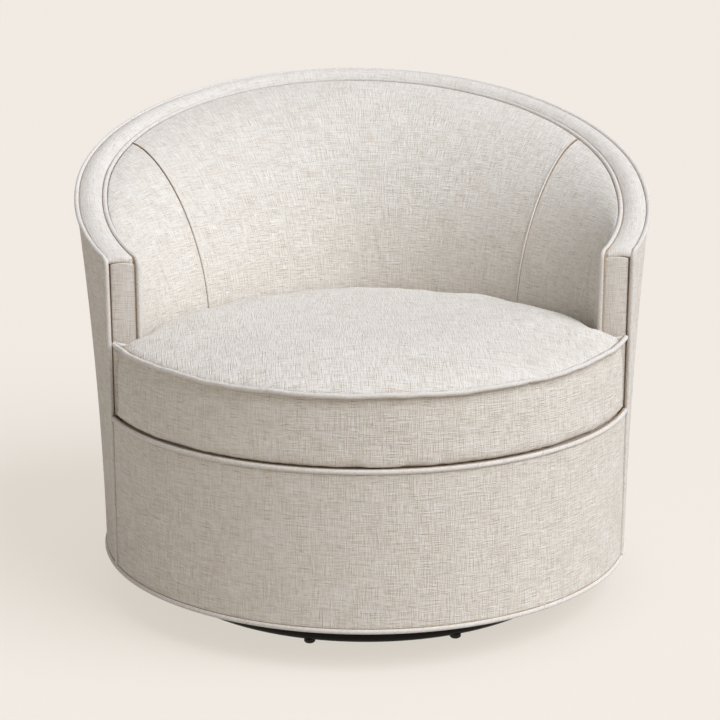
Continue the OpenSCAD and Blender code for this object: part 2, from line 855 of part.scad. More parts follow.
module seam_welt_left() color(welt_color) on_axis() seam_welt(-1);

module deck_welt() color(welt_color) on_axis() {
    front_arc(panel_half)
        translate([drum_r - welt_sink, deck_z - welt_r])
            circle(r = welt_r, $fn = 24);
}

module hem_welt() color(welt_color) on_axis() {
    rotate_extrude()
        translate([drum_r - welt_sink, hem_z + welt_r])
            circle(r = welt_r, $fn = 24);
}

// Sinuous seat springs, clipped to the front and back rails
function spring_x(i) = (i - (spring_count - 1) / 2) * spring_pitch;
function rail_y(x) = -sqrt(pow(deck_ring_r - rail_w / 2, 2) - pow(x, 2));
module seat_springs() color(zinc_color) on_axis() {
    for (i = [0:spring_count - 1]) {
        x = spring_x(i);
        y0 = rail_y(x);
        y1 = back_rail_y + rail_w / 2;
        low = y0 + spring_turn;
        span = y1 - spring_turn - low;
        pitch = span / spring_bars;
        wave = [for (k = steps(0, spring_bars, spring_bars * bar_steps))
            [x + spring_amp * cos(180 * k), low + pitch * k + span * spring_bulge_share / spring_bars
                * -sin(360 * k), wire_z]];
        last = spring_bars % 2 == 0 ? 1 : -1;
        path = concat(
            [[x - spring_end, y0, wire_z], [x + spring_amp - spring_turn, y0, wire_z]],
            wave,
            [[x + last * (spring_amp - spring_turn), y1, wire_z], [x - last * spring_end, y1, wire_z]]
        );
        tube(path, wire_d / 2, 6, [for (p = path) [0, 0, 1]], false);
    }
}

module spring_clips() color(steel_color) on_axis() {
    for (i = [0:spring_count - 1], y = [rail_y(spring_x(i)), back_rail_y + rail_w / 2])
        translate([spring_x(i), y, rail_top])
            difference() {
                translate([-clip_w / 2 + spring_end / 2, -clip_d / 2, 0])
                    cube([clip_w - spring_end, clip_d, cloth_z - rail_top - clear]);
                translate([-clip_w, 0, wire_z - rail_top])
                    rotate([0, 90, 0])
                        cylinder(r = wire_d / 2 + run_clear, h = 2 * clip_w, $fn = 24);
            }
}

module deck_cloth() color(cloth_color) on_axis() {
    translate([0, 0, cloth_z])
        linear_extrude(cloth_t)
            polygon(deck_outline());
}

module deck_pad() color(foam_color) on_axis() {
    translate([0, 0, deck_pad_z])
        linear_extrude(deck_pad_t)
            polygon(deck_outline());
}

// The cushion: flat below, drawn in at both seams, crowned above
function lifted(ring, z) = [for (p = ring) [p[0], p[1], z]];
function shrunk(ring, k) = [for (p = ring) mix(middle, p, k)];
function crown_rise(u, k) = roll_share * (1 - pow(1 - u, roll_power)) + (1 - roll_share) * (1 - k * k);
function cushion_rings(inset, low, high, crown, n, rolls, domes) =
    let (seam = inset + drawn_in, left = 1 - crown_edge / dome_r)
    concat(
        [for (k = steps(0, 1, n))
            lifted(outline(inset + drawn_in * pow(abs(2 * k - 1), 3)), mix(low, high, k))],
        [for (u = rolls)
            lifted(outline(seam + u * crown_edge), high + crown * crown_rise(u, mix(1, left, u)))],
        [for (k = domes)
            lifted(shrunk(outline(seam + crown_edge), k), high + crown * crown_rise(1, k * left))]
    );
module cushion_body(inset, low, high, crown) {
    stack(
        cushion_rings(inset, low, high, crown, boxing_steps, roll_shares, dome_shares),
        concat(middle, [low]), concat(middle, [high + crown])
    );
}
module plain_body(inset, low, high, crown) {
    stack(
        cushion_rings(inset, low, high, crown, plain_boxing_steps, plain_roll_shares, plain_dome_shares),
        concat(middle, [low]), concat(middle, [high + crown])
    );
}

module cushion_cover() color(fabric_color) on_axis() {
    difference() {
        cushion_body(0, cushion_low, seat_line_z, crown_h);
        plain_body(shell_t, cushion_low + zip_deep + cover_skin, seat_line_z - shell_t, crown_h);
        translate([-zip_l / 2 - zip_room, zip_y - zip_w / 2 - clear, cushion_low - over])
            cube([zip_l + 2 * zip_room, zip_w + 2 * clear, zip_deep + over]);
    }
}

module cushion_core() color(foam_color) on_axis() {
    plain_body(shell_t + core_gap, cushion_low + zip_deep + cover_skin + core_gap,
        seat_line_z - shell_t - core_gap, crown_h);
}

module cushion_welt() color(welt_color) on_axis() {
    path = lifted(outline(drawn_in - welt_out), seat_line_z + welt_up);
    tube(path, welt_r, 8, [for (p = path) [0, 0, 1]], true);
}

// Zip in a sunk strip across the back of the cushion's underside
module zipper_tape() color(welt_color) on_axis() {
    translate([-zip_l / 2, zip_y - zip_w / 2, cushion_low + zip_deep - zip_t])
        cube([zip_l, zip_w, zip_t - run_clear]);
}

module zipper_slider() color(zinc_color) on_axis() {
    slider_z = cushion_low + zip_deep - zip_t - clear - slider_t;
    translate([-zip_l / 2 + zip_room, zip_y - slider_w / 2, slider_z])
        cube([slider_l, slider_w, slider_t]);
}

floor_ring();
cross_arms();
glides();
bottom_plate();
lower_race();
pivot_pin();
pivot_washer();
pivot_nut();
ball_cage();
bearing_balls();
upper_race();
top_plate();
plate_bolts();
tee_nuts();
base_panel();
dust_cover();
dust_staples();
drum_posts();
deck_ring();
front_rail();
back_rail();
back_ribs();
arm_posts();
top_rail();
front_board();
outer_board();
inner_board();
seat_springs();
spring_clips();
deck_cloth();
deck_pad();
outer_cover();
front_panel();
top_band();
arm_front_left();
arm_front_right();
back_pad();
arm_pad_left();
arm_pad_right();
outer_welt();
inner_welt();
seam_welt_left();
seam_welt_right();
deck_welt();
hem_welt();
cushion_cover();
cushion_core();
cushion_welt();
zipper_tape();
zipper_slider();
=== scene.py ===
import json
import math
import bmesh
import bpy
import numpy as np
from mathutils import Matrix, Vector
from mathutils.bvhtree import BVHTree
from mathutils.kdtree import KDTree


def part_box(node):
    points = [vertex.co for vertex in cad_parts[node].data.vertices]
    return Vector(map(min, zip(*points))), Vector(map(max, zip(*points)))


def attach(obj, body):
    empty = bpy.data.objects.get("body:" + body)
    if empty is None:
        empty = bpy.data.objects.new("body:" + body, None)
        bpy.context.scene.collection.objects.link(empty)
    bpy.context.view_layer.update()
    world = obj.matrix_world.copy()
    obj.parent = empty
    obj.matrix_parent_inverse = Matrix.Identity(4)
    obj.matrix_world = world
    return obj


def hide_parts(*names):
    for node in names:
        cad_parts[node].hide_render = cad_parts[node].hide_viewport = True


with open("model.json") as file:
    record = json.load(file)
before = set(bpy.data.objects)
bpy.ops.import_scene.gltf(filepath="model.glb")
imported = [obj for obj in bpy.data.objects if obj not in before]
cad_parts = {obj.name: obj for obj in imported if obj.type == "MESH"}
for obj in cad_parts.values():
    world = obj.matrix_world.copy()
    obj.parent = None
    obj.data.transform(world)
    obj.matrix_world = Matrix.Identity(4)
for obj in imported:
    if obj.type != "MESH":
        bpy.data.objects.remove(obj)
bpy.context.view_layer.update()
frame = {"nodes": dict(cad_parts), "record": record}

# Swivel barrel chair: the covers, pads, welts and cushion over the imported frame. Sizes are in
# metres. The tub's curves are worked out round the swivel axis and then set back to it.

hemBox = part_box("hem_welt")
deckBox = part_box("deck_welt")
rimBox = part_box("outer_welt")
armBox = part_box("arm_front_right")
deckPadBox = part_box("deck_pad")
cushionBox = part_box("cushion_cover")
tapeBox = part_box("zipper_tape")
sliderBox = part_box("zipper_slider")

tub = {
    "weltSink": 0.0004,      # welts lie this far inside the corner that they cover
    "clear": 0.0003,         # room between two pieces that meet
    "bandWidth": 0.043,
    "rimTilt": math.radians(15),
    "rimSquare": 2.15,       # 2 is round, more is squarer
    "bandSquare": 0.1,       # how much squarer the band's inner edge is
    "flare": 1.8,            # how late the outside leans out towards the rim
    "padRound": 1.75,
    "footRound": 1.7,
    "footHalf": 0.331,       # half the width and the depth of the room between the pads' feet
    "footBack": 0.190,
    "seamShare": 0.54,       # where the two inside seams meet the rim
    "boxing": 0.101,         # height of the cushion's side
    "seatMiddle": 1.18,      # middle of the deck and of the cushion's crown, as a share of armY
    "coverThick": 0.006,
    "cornerRound": 0.009,    # the rim welts turn down the arm fronts with this corner
}
weltRadius = (hemBox[1].z - hemBox[0].z) / 2
axisY = (hemBox[0].y + hemBox[1].y) / 2
drumRadius = (hemBox[1].x - hemBox[0].x) / 2 - weltRadius + tub["weltSink"]
rimRadius = (rimBox[1].x - rimBox[0].x) / 2 - weltRadius + tub["weltSink"]
innerRadius = rimRadius - tub["bandWidth"]
rimBack = rimBox[1].y - axisY - rimRadius - weltRadius + tub["weltSink"]
rimSlope = math.tan(tub["rimTilt"])
rimMiddle = rimBox[1].z - weltRadius + tub["weltSink"] - (rimRadius - tub["weltSink"]) * rimSlope
hemLow = hemBox[0].z
deckTop = deckBox[1].z
armY = armBox[0].y - axisY
sideY = armBox[1].y - axisY + tub["clear"]     # the tub's side pieces end here, behind the arm fronts
seatLine = deckTop + tub["boxing"]
seatMiddle = armY * tub["seatMiddle"]
padLow = deckPadBox[0].z + tub["clear"]
deckPadRadius = axisY - deckPadBox[0].y


def rimHeight(y):
    return rimMiddle + (y - rimBack) * rimSlope


def rimRing(t, radius, endY):
    # round behind, a little squarer in front; t runs from -1 to 1 round the rim
    n = tub["rimSquare"] + tub["bandSquare"] * (rimRadius - radius) / tub["bandWidth"]
    d = (rimBack - endY) / radius
    w = (1 - d ** n) ** (1 / n)
    a = np.asarray(t) * (math.pi / 2 + math.atan2(d, w))
    s, c = np.sin(a), np.cos(a)
    squared = (np.abs(s) ** n + np.abs(c) ** n) ** (-1 / n)
    k = radius * np.where(c < 0, squared, 1)
    return k * s, rimBack + k * c


def drumRing(t, radius, endY):
    a = np.asarray(t) * (math.pi / 2 + math.asin(-endY / radius))
    return radius * np.sin(a), radius * np.cos(a)


def outside(t, z, endY):
    # the shell's outside flares from the round drum at the hem to the rim
    lowX, lowY = drumRing(t, drumRadius, endY)
    topX, topY = rimRing(t, rimRadius, endY)
    k = np.clip((z - hemLow) / (rimHeight(topY) - hemLow), 0, None) ** tub["flare"]
    return np.stack([lowX + (topX - lowX) * k, lowY + (topY - lowY) * k, z + 0 * lowX], -1)


def outsideTop(t, endY, drop):
    # height at which the outside meets the sloping rim, closer with each round
    z = np.full(np.shape(t), rimMiddle)
    for _ in range(8):
        z = rimHeight(outside(t, z, endY)[..., 1]) - drop
    return z


def footRing(t, half, back, endY):
    s = np.sin(np.pi / 2 * np.abs(t)) ** (2 / tub["footRound"])
    c = np.cos(np.pi / 2 * np.abs(t)) ** (2 / tub["footRound"])
    return np.sign(t) * half * s, endY + (back - endY) * c


def padColumns(t, radius, steps):
    # columns from the pads' low edge up over the roll to the inner rim
    t = np.asarray(t)
    rimX, rimY = rimRing(t, radius, sideY)
    footX, footY = footRing(t, tub["footHalf"], tub["footBack"], sideY)
    top = rimHeight(rimY)
    a = np.linspace(math.pi / 2, 0, steps)
    u = np.sin(a) ** (2 / tub["padRound"])
    v = np.cos(a) ** (2 / tub["padRound"])
    x = rimX[:, None] + (footX - rimX)[:, None] * u
    y = rimY[:, None] + (footY - rimY)[:, None] * u
    z = seatLine + (top - seatLine)[:, None] * v
    rise = np.stack([x, y, z], -1)
    low = rise[:, :1].copy()
    low[..., 2] = padLow
    return np.concatenate([low, rise], 1)


# steps in from a panel's edge, close together where the cloth rolls in
edgeSteps = np.array([0, 0.0005, 0.0011, 0.0018, 0.0027, 0.0039, 0.0055, 0.0078])


def spacing(total, inner):
    last = edgeSteps[-1]
    middle = np.linspace(last, total - last, inner + 2)[1:-1]
    return np.concatenate([edgeSteps, middle, total - edgeSteps[::-1]])


def lengths(points):
    step = np.linalg.norm(np.diff(points, axis=-2), axis=-1)
    zero = np.zeros(step.shape[:-1] + (1,))
    return np.concatenate([zero, np.cumsum(step, -1)], -1)


def lengthsAcross(grid):
    return lengths(grid.swapaxes(0, 1)).swapaxes(0, 1)


def unit(vectors):
    return vectors / np.maximum(np.linalg.norm(vectors, axis=-1, keepdims=True), 1e-12)


def resample(line, inner):
    at = lengths(line)
    wanted = spacing(at[-1], inner)
    return np.stack([np.interp(wanted, at, line[:, k]) for k in range(3)], -1)


def gridNormals(grid, towards):
    # normals of a grid of points, turned so that they point towards a direction at its middle
    n = unit(np.cross(np.gradient(grid, axis=0), np.gradient(grid, axis=1)))
    return n if np.dot(n[len(n) // 2, n.shape[1] // 2], towards) > 0 else -n


def roll(distance, radius):
    # how deep a rolled edge lies at a distance from its own end
    d = np.clip(1 - distance / radius, 0, 1)
    return radius * (1 - np.sqrt(1 - d * d))


def soften(grid, rolls, normal):
    # roll each edge in by its own radius: first column, last column, low edge, high edge
    along = lengths(grid)
    across = lengthsAcross(grid)
    depth = 0
    for distance, radius in zip((across, across[-1:] - across, along, along[:, -1:] - along), rolls):
        if radius > 0:
            depth = np.maximum(depth, roll(distance, radius))
    return grid - normal * depth[..., None]


def addToScene(name, data):
    made = bpy.data.objects.new(name, data)
    bpy.context.scene.collection.objects.link(made)
    return made


def shadeSmooth(mesh, smooth=True):
    mesh.polygons.foreach_set("use_smooth", [smooth] * len(mesh.polygons))


def meshPiece(name, verts, faces, uvs=None):
    # uvs has one pair for each corner, in metres of cloth
    mesh = bpy.data.meshes.new(name)
    moved = np.array(verts, dtype=float) + (0, axisY, 0)
    mesh.from_pydata(moved.tolist(), [], faces)
    if uvs is not None:
        layer = mesh.uv_layers.new(name="cloth")
        layer.data.foreach_set("uv", np.asarray(uvs, dtype=np.float32).ravel())
    shadeSmooth(mesh)
    return addToScene(name, mesh)


def closeMesh(piece, merge=0.0):
    # doubles merged, holes filled and faces turned outwards
    bm = bmesh.new()
    bm.from_mesh(piece.data)
    if merge:
        bmesh.ops.remove_doubles(bm, verts=bm.verts, dist=merge)
    bmesh.ops.holes_fill(bm, edges=bm.edges, sides=0)
    bmesh.ops.recalc_face_normals(bm, faces=bm.faces)
    bm.to_mesh(piece.data)
    bm.free()
    piece.data.update()


def slabPiece(name, near, far):
    # closed solid between the face that shows and the hidden side behind it
    n, m = near.shape[:2]
    verts = np.concatenate([near.reshape(-1, 3), far.reshape(-1, 3)])
    i, j = np.meshgrid(np.arange(n - 1), np.arange(m - 1), indexing="ij")
    a = (i * m + j).ravel()
    quads = np.stack([a, a + m, a + m + 1, a + 1], -1)
    hidden = quads[:, ::-1] + n * m
    rim = np.concatenate([
        np.arange(m), np.arange(1, n) * m + m - 1,
        (n - 1) * m + np.arange(m - 2, -1, -1), np.arange(n - 2, 0, -1) * m,
    ])
    after = np.roll(rim, -1)
    walls = np.stack([rim, after, after + n * m, rim + n * m], -1)
    faces = np.concatenate([quads, hidden, walls])
    u = lengthsAcross(near)
    u = u - u[n // 2: n // 2 + 1]
    flat = np.stack([np.broadcast_to(u.mean(1, keepdims=True), u.shape), lengths(near)], -1).reshape(-1, 2)
    flat = np.concatenate([flat, flat])
    piece = meshPiece(name, verts, faces.tolist(), flat[faces.ravel()])
    closeMesh(piece)
    return piece


ringMerge = 0.00001


def closedRings(rings, low, high):
    # rings of points joined into a solid, closed by a fan at each end round the points low and high
    n, m = len(rings[0]), len(rings)
    i = np.arange(n)
    j = (i + 1) % n
    faces = [face for r in range(m - 1)
             for face in np.stack([r * n + i, r * n + j, (r + 1) * n + j, (r + 1) * n + i], -1).tolist()]
    faces += [[a, b, n * m] for a, b in zip(j.tolist(), i.tolist())]
    faces += [[(m - 1) * n + a, (m - 1) * n + b, n * m + 1] for a, b in zip(i.tolist(), j.tolist())]
    return np.concatenate(rings + [[low], [high]]), faces


def dress(piece, body, slot, material, *nodes):
    piece.data.materials.clear()
    piece.data.materials.append(material)
    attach(piece, body)
    if nodes:
        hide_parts(*nodes)


# node trees for materials and for geometry

def nodeTree(name, kind, inputs, outputs):
    # gives the tree, and the sockets that its inner nodes take from and give to
    tree = bpy.data.node_groups.new(name, kind)
    for way, sockets in (("INPUT", inputs), ("OUTPUT", outputs)):
        for socketKind, label, *value in sockets:
            socket = tree.interface.new_socket(label, in_out=way, socket_type="NodeSocket" + socketKind)
            if value:
                socket.default_value = value[0]
    start = tree.nodes.new("NodeGroupInput")
    end = tree.nodes.new("NodeGroupOutput")
    return tree, start.outputs, end.inputs


def feed(tree, slot, value):
    # another node's output is linked, anything else is set on the socket itself
    if hasattr(value, "is_output"):
        tree.links.new(value, slot)
    elif value is not None:
        slot.default_value = value


def fill(tree, node, **given):
    for label, value in given.items():
        feed(tree, node.inputs[label.replace("_", " ")], value)


def addNode(tree, kind, settings=None, **given):
    node = tree.nodes.new(kind)
    for key, value in (settings or {}).items():
        setattr(node, key, value)
    fill(tree, node, **given)
    return node


def mathNode(tree, operation, *values, clamp=False):
    node = addNode(tree, "ShaderNodeMath", {"operation": operation, "use_clamp": clamp})
    for slot, value in zip(node.inputs, values):
        feed(tree, slot, value)
    return node.outputs[0]


def joinVector(tree, x, y, z=0.0):
    return addNode(tree, "ShaderNodeCombineXYZ", X=x, Y=y, Z=z).outputs[0]


def noiseNode(tree, vector, scale, detail=2.0, rough=0.5):
    node = addNode(tree, "ShaderNodeTexNoise", Vector=vector, Scale=scale, Detail=detail, Roughness=rough)
    return node.outputs["Fac"]


def mixColor(tree, factor, a, b):
    node = addNode(tree, "ShaderNodeMix", {"data_type": "RGBA"})
    for index, value in ((0, factor), (6, a), (7, b)):      # the sockets of its colour mode
        feed(tree, node.inputs[index], value + (1,) if isinstance(value, tuple) else value)
    return node.outputs[2]


def rangeNode(tree, value, low, high, toLow, toHigh):
    node = addNode(tree, "ShaderNodeMapRange", Value=value, From_Min=low, From_Max=high,
                   To_Min=toLow, To_Max=toHigh)
    return node.outputs["Result"]


def newMaterial(name):
    material = bpy.data.materials.new(name)
    material.use_nodes = True
    return material, material.node_tree, material.node_tree.nodes["Principled BSDF"]


def objectPlace(tree):
    return addNode(tree, "ShaderNodeTexCoord").outputs["Object"]


def relief(tree, shader, height, strength, distance):
    bump = addNode(tree, "ShaderNodeBump", Strength=strength, Distance=distance, Height=height)
    fill(tree, shader, Normal=bump.outputs[0])


def groupMaterial(name, group, values, strength, distance):
    # a material that takes its colour, roughness and height from a shared group
    material, tree, shader = newMaterial(name)
    effect = addNode(tree, "ShaderNodeGroup", {"node_tree": group})
    for label, value in values.items():
        effect.inputs[label].default_value = value + (1,) if isinstance(value, tuple) else value
    fill(tree, shader, Base_Color=effect.outputs["Color"], Roughness=effect.outputs["Roughness"])
    relief(tree, shader, effect.outputs["Height"], strength, distance)
    return material, tree, effect, shader


surfaceOutputs = [
    ("Color", "Color"),
    ("Float", "Height"),
    ("Float", "Roughness"),
]

yarns = {
    # thickness and length of a yarn's spots in threads, and a shift that sets the patterns apart
    "fineWarp": (1.2, 14.0, 0.0),
    "fineWeft": (1.2, 15.0, 7.0),
    "slubWarp": (1.4, 34.0, 3.0),
    "slubWeft": (1.35, 42.0, 11.0),
    "streakWeft": (0.9, 22.0, 23.0),
    "speckWarp": (1.3, 2.4, 31.0),
}
weave = {
    "slubShade": 1.15,       # what the slubs and the clouds add to the fine yarns' shade
    "cloudShade": 0.3,
    "cloudScale": 16.0,
    "slubHeight": 0.8,
    "shades": (1.89, 2.58),  # from the dark yarn to the light one
    "streaks": (0.63, 0.75),
    "specks": (0.72, 0.79),
    "fleck": 0.7,            # how strong streaks and specks are
    "rough": (0.95, 0.82),
}


def linenGroup():
    # plain weave of uneven yarn: fine threads, short slubs both ways, dark flecks and a soft cloudiness
    tree, given, result = nodeTree("slubLinen", "ShaderNodeTree", [
        ("Vector", "Vector"),
        ("Color", "Light Yarn"),
        ("Color", "Dark Yarn"),
        ("Color", "Fleck"),
        ("Float", "Threads"),
    ], surfaceOutputs)
    parts = addNode(tree, "ShaderNodeSeparateXYZ", Vector=given["Vector"])
    warp = mathNode(tree, "MULTIPLY", parts.outputs[0], given["Threads"])
    weft = mathNode(tree, "MULTIPLY", parts.outputs[1], given["Threads"])

    def yarn(name):
        across, along = (warp, weft) if name.endswith("Warp") else (weft, warp)
        thick, long, shift = yarns[name]
        place = joinVector(tree, mathNode(tree, "DIVIDE", across, thick),
                           mathNode(tree, "DIVIDE", along, long), shift)
        return noiseNode(tree, place, 1.0, 1.0)

    fine = mathNode(tree, "ADD", yarn("fineWarp"), yarn("fineWeft"))
    slub = mathNode(tree, "ADD", yarn("slubWarp"), yarn("slubWeft"))
    cloud = noiseNode(tree, given["Vector"], weave["cloudScale"])
    shade = mathNode(tree, "MULTIPLY_ADD", slub, weave["slubShade"], fine)
    shade = mathNode(tree, "MULTIPLY_ADD", cloud, weave["cloudShade"], shade)
    mask = rangeNode(tree, shade, *weave["shades"], 0.0, 1.0)
    streak = rangeNode(tree, yarn("streakWeft"), *weave["streaks"], 0.0, weave["fleck"])
    speck = rangeNode(tree, yarn("speckWarp"), *weave["specks"], 0.0, weave["fleck"])
    color = mixColor(tree, mask, given["Dark Yarn"], given["Light Yarn"])
    color = mixColor(tree, mathNode(tree, "MAXIMUM", streak, speck), color, given["Fleck"])
    feed(tree, result["Color"], color)
    feed(tree, result["Height"], mathNode(tree, "MULTIPLY_ADD", slub, weave["slubHeight"], fine))
    feed(tree, result["Roughness"], rangeNode(tree, mask, 0.0, 1.0, *weave["rough"]))
    return tree


linen = linenGroup()

linenSettings = {
    "light": (0.872, 0.835, 0.772),
    "dark": (0.70, 0.628, 0.53),
    "fleck": (0.34, 0.265, 0.19),
    "threads": 900.0,        # threads for each metre of cloth
    "bias": 0.0,             # how far the cloth is turned, in degrees
    "bump": 1.0,
    "yarnHeight": 0.0013,
    "sheen": 0.12,
    "shine": 0.25,
}


def linenMaterial(name, **changes):
    s = dict(linenSettings, **changes)
    values = {"Light Yarn": s["light"], "Dark Yarn": s["dark"], "Fleck": s["fleck"], "Threads": s["threads"]}
    material, tree, effect, shader = groupMaterial(name, linen, values, s["bump"], s["yarnHeight"])
    place = addNode(tree, "ShaderNodeUVMap", {"uv_map": "cloth"})
    turn = addNode(tree, "ShaderNodeMapping", Vector=place.outputs[0],
                   Rotation=(0, 0, math.radians(s["bias"])))
    fill(tree, effect, Vector=turn.outputs[0])
    fill(tree, shader, Sheen_Weight=s["sheen"], Specular_IOR_Level=s["shine"])
    return material


panelLinen = linenMaterial("panel linen")
# painted shade: a darker copy of the same linen, for how the light falls on the band and the arm fronts
stretchedShadedLinen = linenMaterial("stretched linen, painted darker", bump=0.5,      # on the band and the arm fronts: less bump, and lighter yarn darkened as painted shade
                               light=(0.825, 0.79, 0.735), dark=(0.69, 0.628, 0.545))
# painted shade: the welts' copy of the linen is darker, so that their round tops catch less light; the cloth
# is cut on the bias
shadedWeltLinen = linenMaterial("welt linen, painted darker", bias=45.0, bump=0.35,
                          light=(0.775, 0.75, 0.71), dark=(0.69, 0.645, 0.58))
deckLinen = linenMaterial("deck cloth", light=(0.74, 0.70, 0.64), dark=(0.60, 0.55, 0.48))


def paintedSeamShadeMaterial():
    # painted shade: the raw folds and thread deep in a seam, coloured brown to stand in for the shadow in the
    # groove, so that it shows as a thin brown line
    material, tree, shader = newMaterial("painted seam shade")
    spots = rangeNode(tree, noiseNode(tree, objectPlace(tree), 420.0, 2.0, 0.6), 0.35, 0.65, 0.0, 1.0)
    fill(tree, shader, Base_Color=mixColor(tree, spots, (0.34, 0.24, 0.155), (0.50, 0.385, 0.275)),
         Roughness=0.95, Specular_IOR_Level=0.1)
    return material


paintedSeamShade = paintedSeamShadeMaterial()
print("stage: linen ready")

view = {
    "down": 0.27233,         # angle below the level, in radians
    "turn": 0.056567,        # turn round the chair
    "focal": 2112.0,         # in pixels of the frame
    "framePixels": 720,
    "sensor": 36.0,
    "shiftX": -0.008688,
    "targetZ": 0.334034,
    "distance": 3.2,
}


def placeCamera():
    turn = Matrix.Rotation(-view["turn"], 3, "Z")
    down, far = view["down"], view["distance"]
    place = Vector((view["shiftX"], -far * math.cos(down), far * math.sin(down) + view["targetZ"]))
    look = turn @ Vector((0, math.cos(down), -math.sin(down)))
    data = bpy.data.cameras.new("camera")
    data.sensor_width = view["sensor"]
    data.lens = view["focal"] / view["framePixels"] * view["sensor"]
    camera = addToScene("camera", data)
    camera.location = turn @ place + Vector((0, axisY, 0))
    camera.rotation_euler = look.to_track_quat("-Z", "Y").to_euler()
    bpy.context.scene.camera = camera


lamps = {
    # direction towards the lamp, strength, angle across in degrees, colour
    "key": ((0.60, -0.34, 0.73), 2.82, 50, (0.965, 0.995, 1.065)),
    "top": ((0.15, 0.1, 1.0), 0.46, 60, (0.92, 1.03, 1.28)),
    "fill": ((-1.0, -0.15, 0.02), 0.48, 90, (0.96, 1.0, 1.03)),
    "front": ((-0.15, -1.0, 0.05), 0.2, 90, (1.0, 0.86, 0.70)),
}
roomLight = {"color": (1.0, 0.93, 0.84), "strength": 0.19}


def lightRoom():
    for name, (towards, strength, angle, color) in lamps.items():
        data = bpy.data.lights.new(name, "SUN")
        data.energy = strength
        data.angle = math.radians(angle)
        data.color = color
        addToScene(name, data).rotation_euler = (-Vector(towards)).to_track_quat("-Z", "Y").to_euler()
    world = bpy.data.worlds.new("room")
    world.use_nodes = True
    fill(world.node_tree, world.node_tree.nodes["Background"], Color=roomLight["color"] + (1,),
         Strength=roomLight["strength"])
    bpy.context.scene.world = world


floorSettings = {
    "half": 30.0,
    "color": (0.62, 0.565, 0.50),      # what the floor sends back on to the chair
    "seenColor": (0.24, 0.22, 0.21),   # what the camera sees of it, with the glow added
    "seenGlow": (0.645, 0.605, 0.545),
}


def layFloor():
    s = floorSettings
    mesh = bpy.data.meshes.new("floor")
    corners = [(x * s["half"], y * s["half"], 0) for x, y in ((-1, -1), (1, -1), (1, 1), (-1, 1))]
    mesh.from_pydata(corners, [], [(0, 1, 2, 3)])
    material, tree, shader = newMaterial("floor paint")
    path = addNode(tree, "ShaderNodeLightPath").outputs
    seen = mathNode(tree, "ADD", path["Is Camera Ray"], path["Is Glossy Ray"])
    seen = mathNode(tree, "ADD", seen, path["Is Transmission Ray"], clamp=True)
    fill(tree, shader, Base_Color=mixColor(tree, seen, s["color"], s["seenColor"]), Roughness=0.9,
         Specular_IOR_Level=0.0, Emission_Color=s["seenGlow"] + (1,), Emission_Strength=seen)
    mesh.materials.append(material)
    addToScene("floor", mesh)


placeCamera()
lightRoom()
layFloor()
bpy.context.scene.view_settings.view_transform = "Standard"
print("stage: camera, light and floor ready")

coverSettings = {
    "besideWelt": 0.0024,    # a panel's edge lies this far from the middle of its welt
    "edgeRoll": 0.0042,
    "seamRoll": 0.0016,
    "backSeam": 0.5,         # where the two upright seams of the outside lie, as a share of each side
    "around": 170,
    "upwards": 40,
}


def endShares(length, inner):
    # places from -1 to 1, close together at both ends
    return spacing(2 * length, inner) / length - 1


def sewnPanel(name, face, towards, rolls, node, far=None, thick=tub["coverThick"], material=panelLinen):
    # a panel with rolled edges; towards is the way that it faces at its middle
    normal = gridNormals(face, towards)
    far = face - normal * thick if far is None else far
    piece = slabPiece(name, soften(face, rolls, normal), far)
    dress(piece, "seat", "linen", material, node)
    return piece


def outerPanel(name, first, last, rolls):
    s = coverSettings
    gap = s["besideWelt"]
    length = drumRadius * (math.pi / 2 + math.asin(-sideY / drumRadius)) * (last - first)
    low = hemLow + weltRadius + gap
    columns = []
    for k in first + (last - first) * spacing(length, s["around"] // 3) / length:
        top = outsideTop(np.array([k]), armY + gap, gap + tub["weltSink"])[0]
        z = low + spacing(top - low, s["upwards"])
        columns.append(outside(np.full(len(z), k), z, armY + gap))
    face = np.array(columns)
    outwards = face[len(face) // 2, len(face[0]) // 2] * (1, 1, 0)
    sewnPanel(name, face, outwards, rolls + [s["edgeRoll"]] * 2, "outer_cover")


def frontPanel():
    s = coverSettings
    gap = s["besideWelt"]
    half = math.acos(-armY / drumRadius) - gap / drumRadius
    angles = endShares(half * drumRadius, s["around"] // 2) * half
    z = hemLow + weltRadius + gap + spacing(deckTop - weltRadius * 2 - hemLow - 2 * gap, s["upwards"] // 2)
    angle, height = np.meshgrid(angles, z, indexing="ij")
    face = np.stack([drumRadius * np.sin(angle), -drumRadius * np.cos(angle), height], -1)
    inner = (drumRadius - tub["coverThick"]) / drumRadius
    sewnPanel("drumFront", face, (0, -1, 0), [s["edgeRoll"]] * 4, "front_panel", far=face * (inner, inner, 1))


bandSettings = {
    "crown": 0.0032,         # over the arm fronts
    "fuller": 0.0042,        # added behind them, where the band is stuffed fuller
    "fullFrom": 0.12,
    "frontDrop": 0.0085,     # the band turns over the front corner this far down
    "frontRoll": 0.0012,
    "thick": 0.006,
    "halfLength": 2.2,       # in radii of the rim
    "across": 18,
    "turned": 8,             # rows over the front corner
}


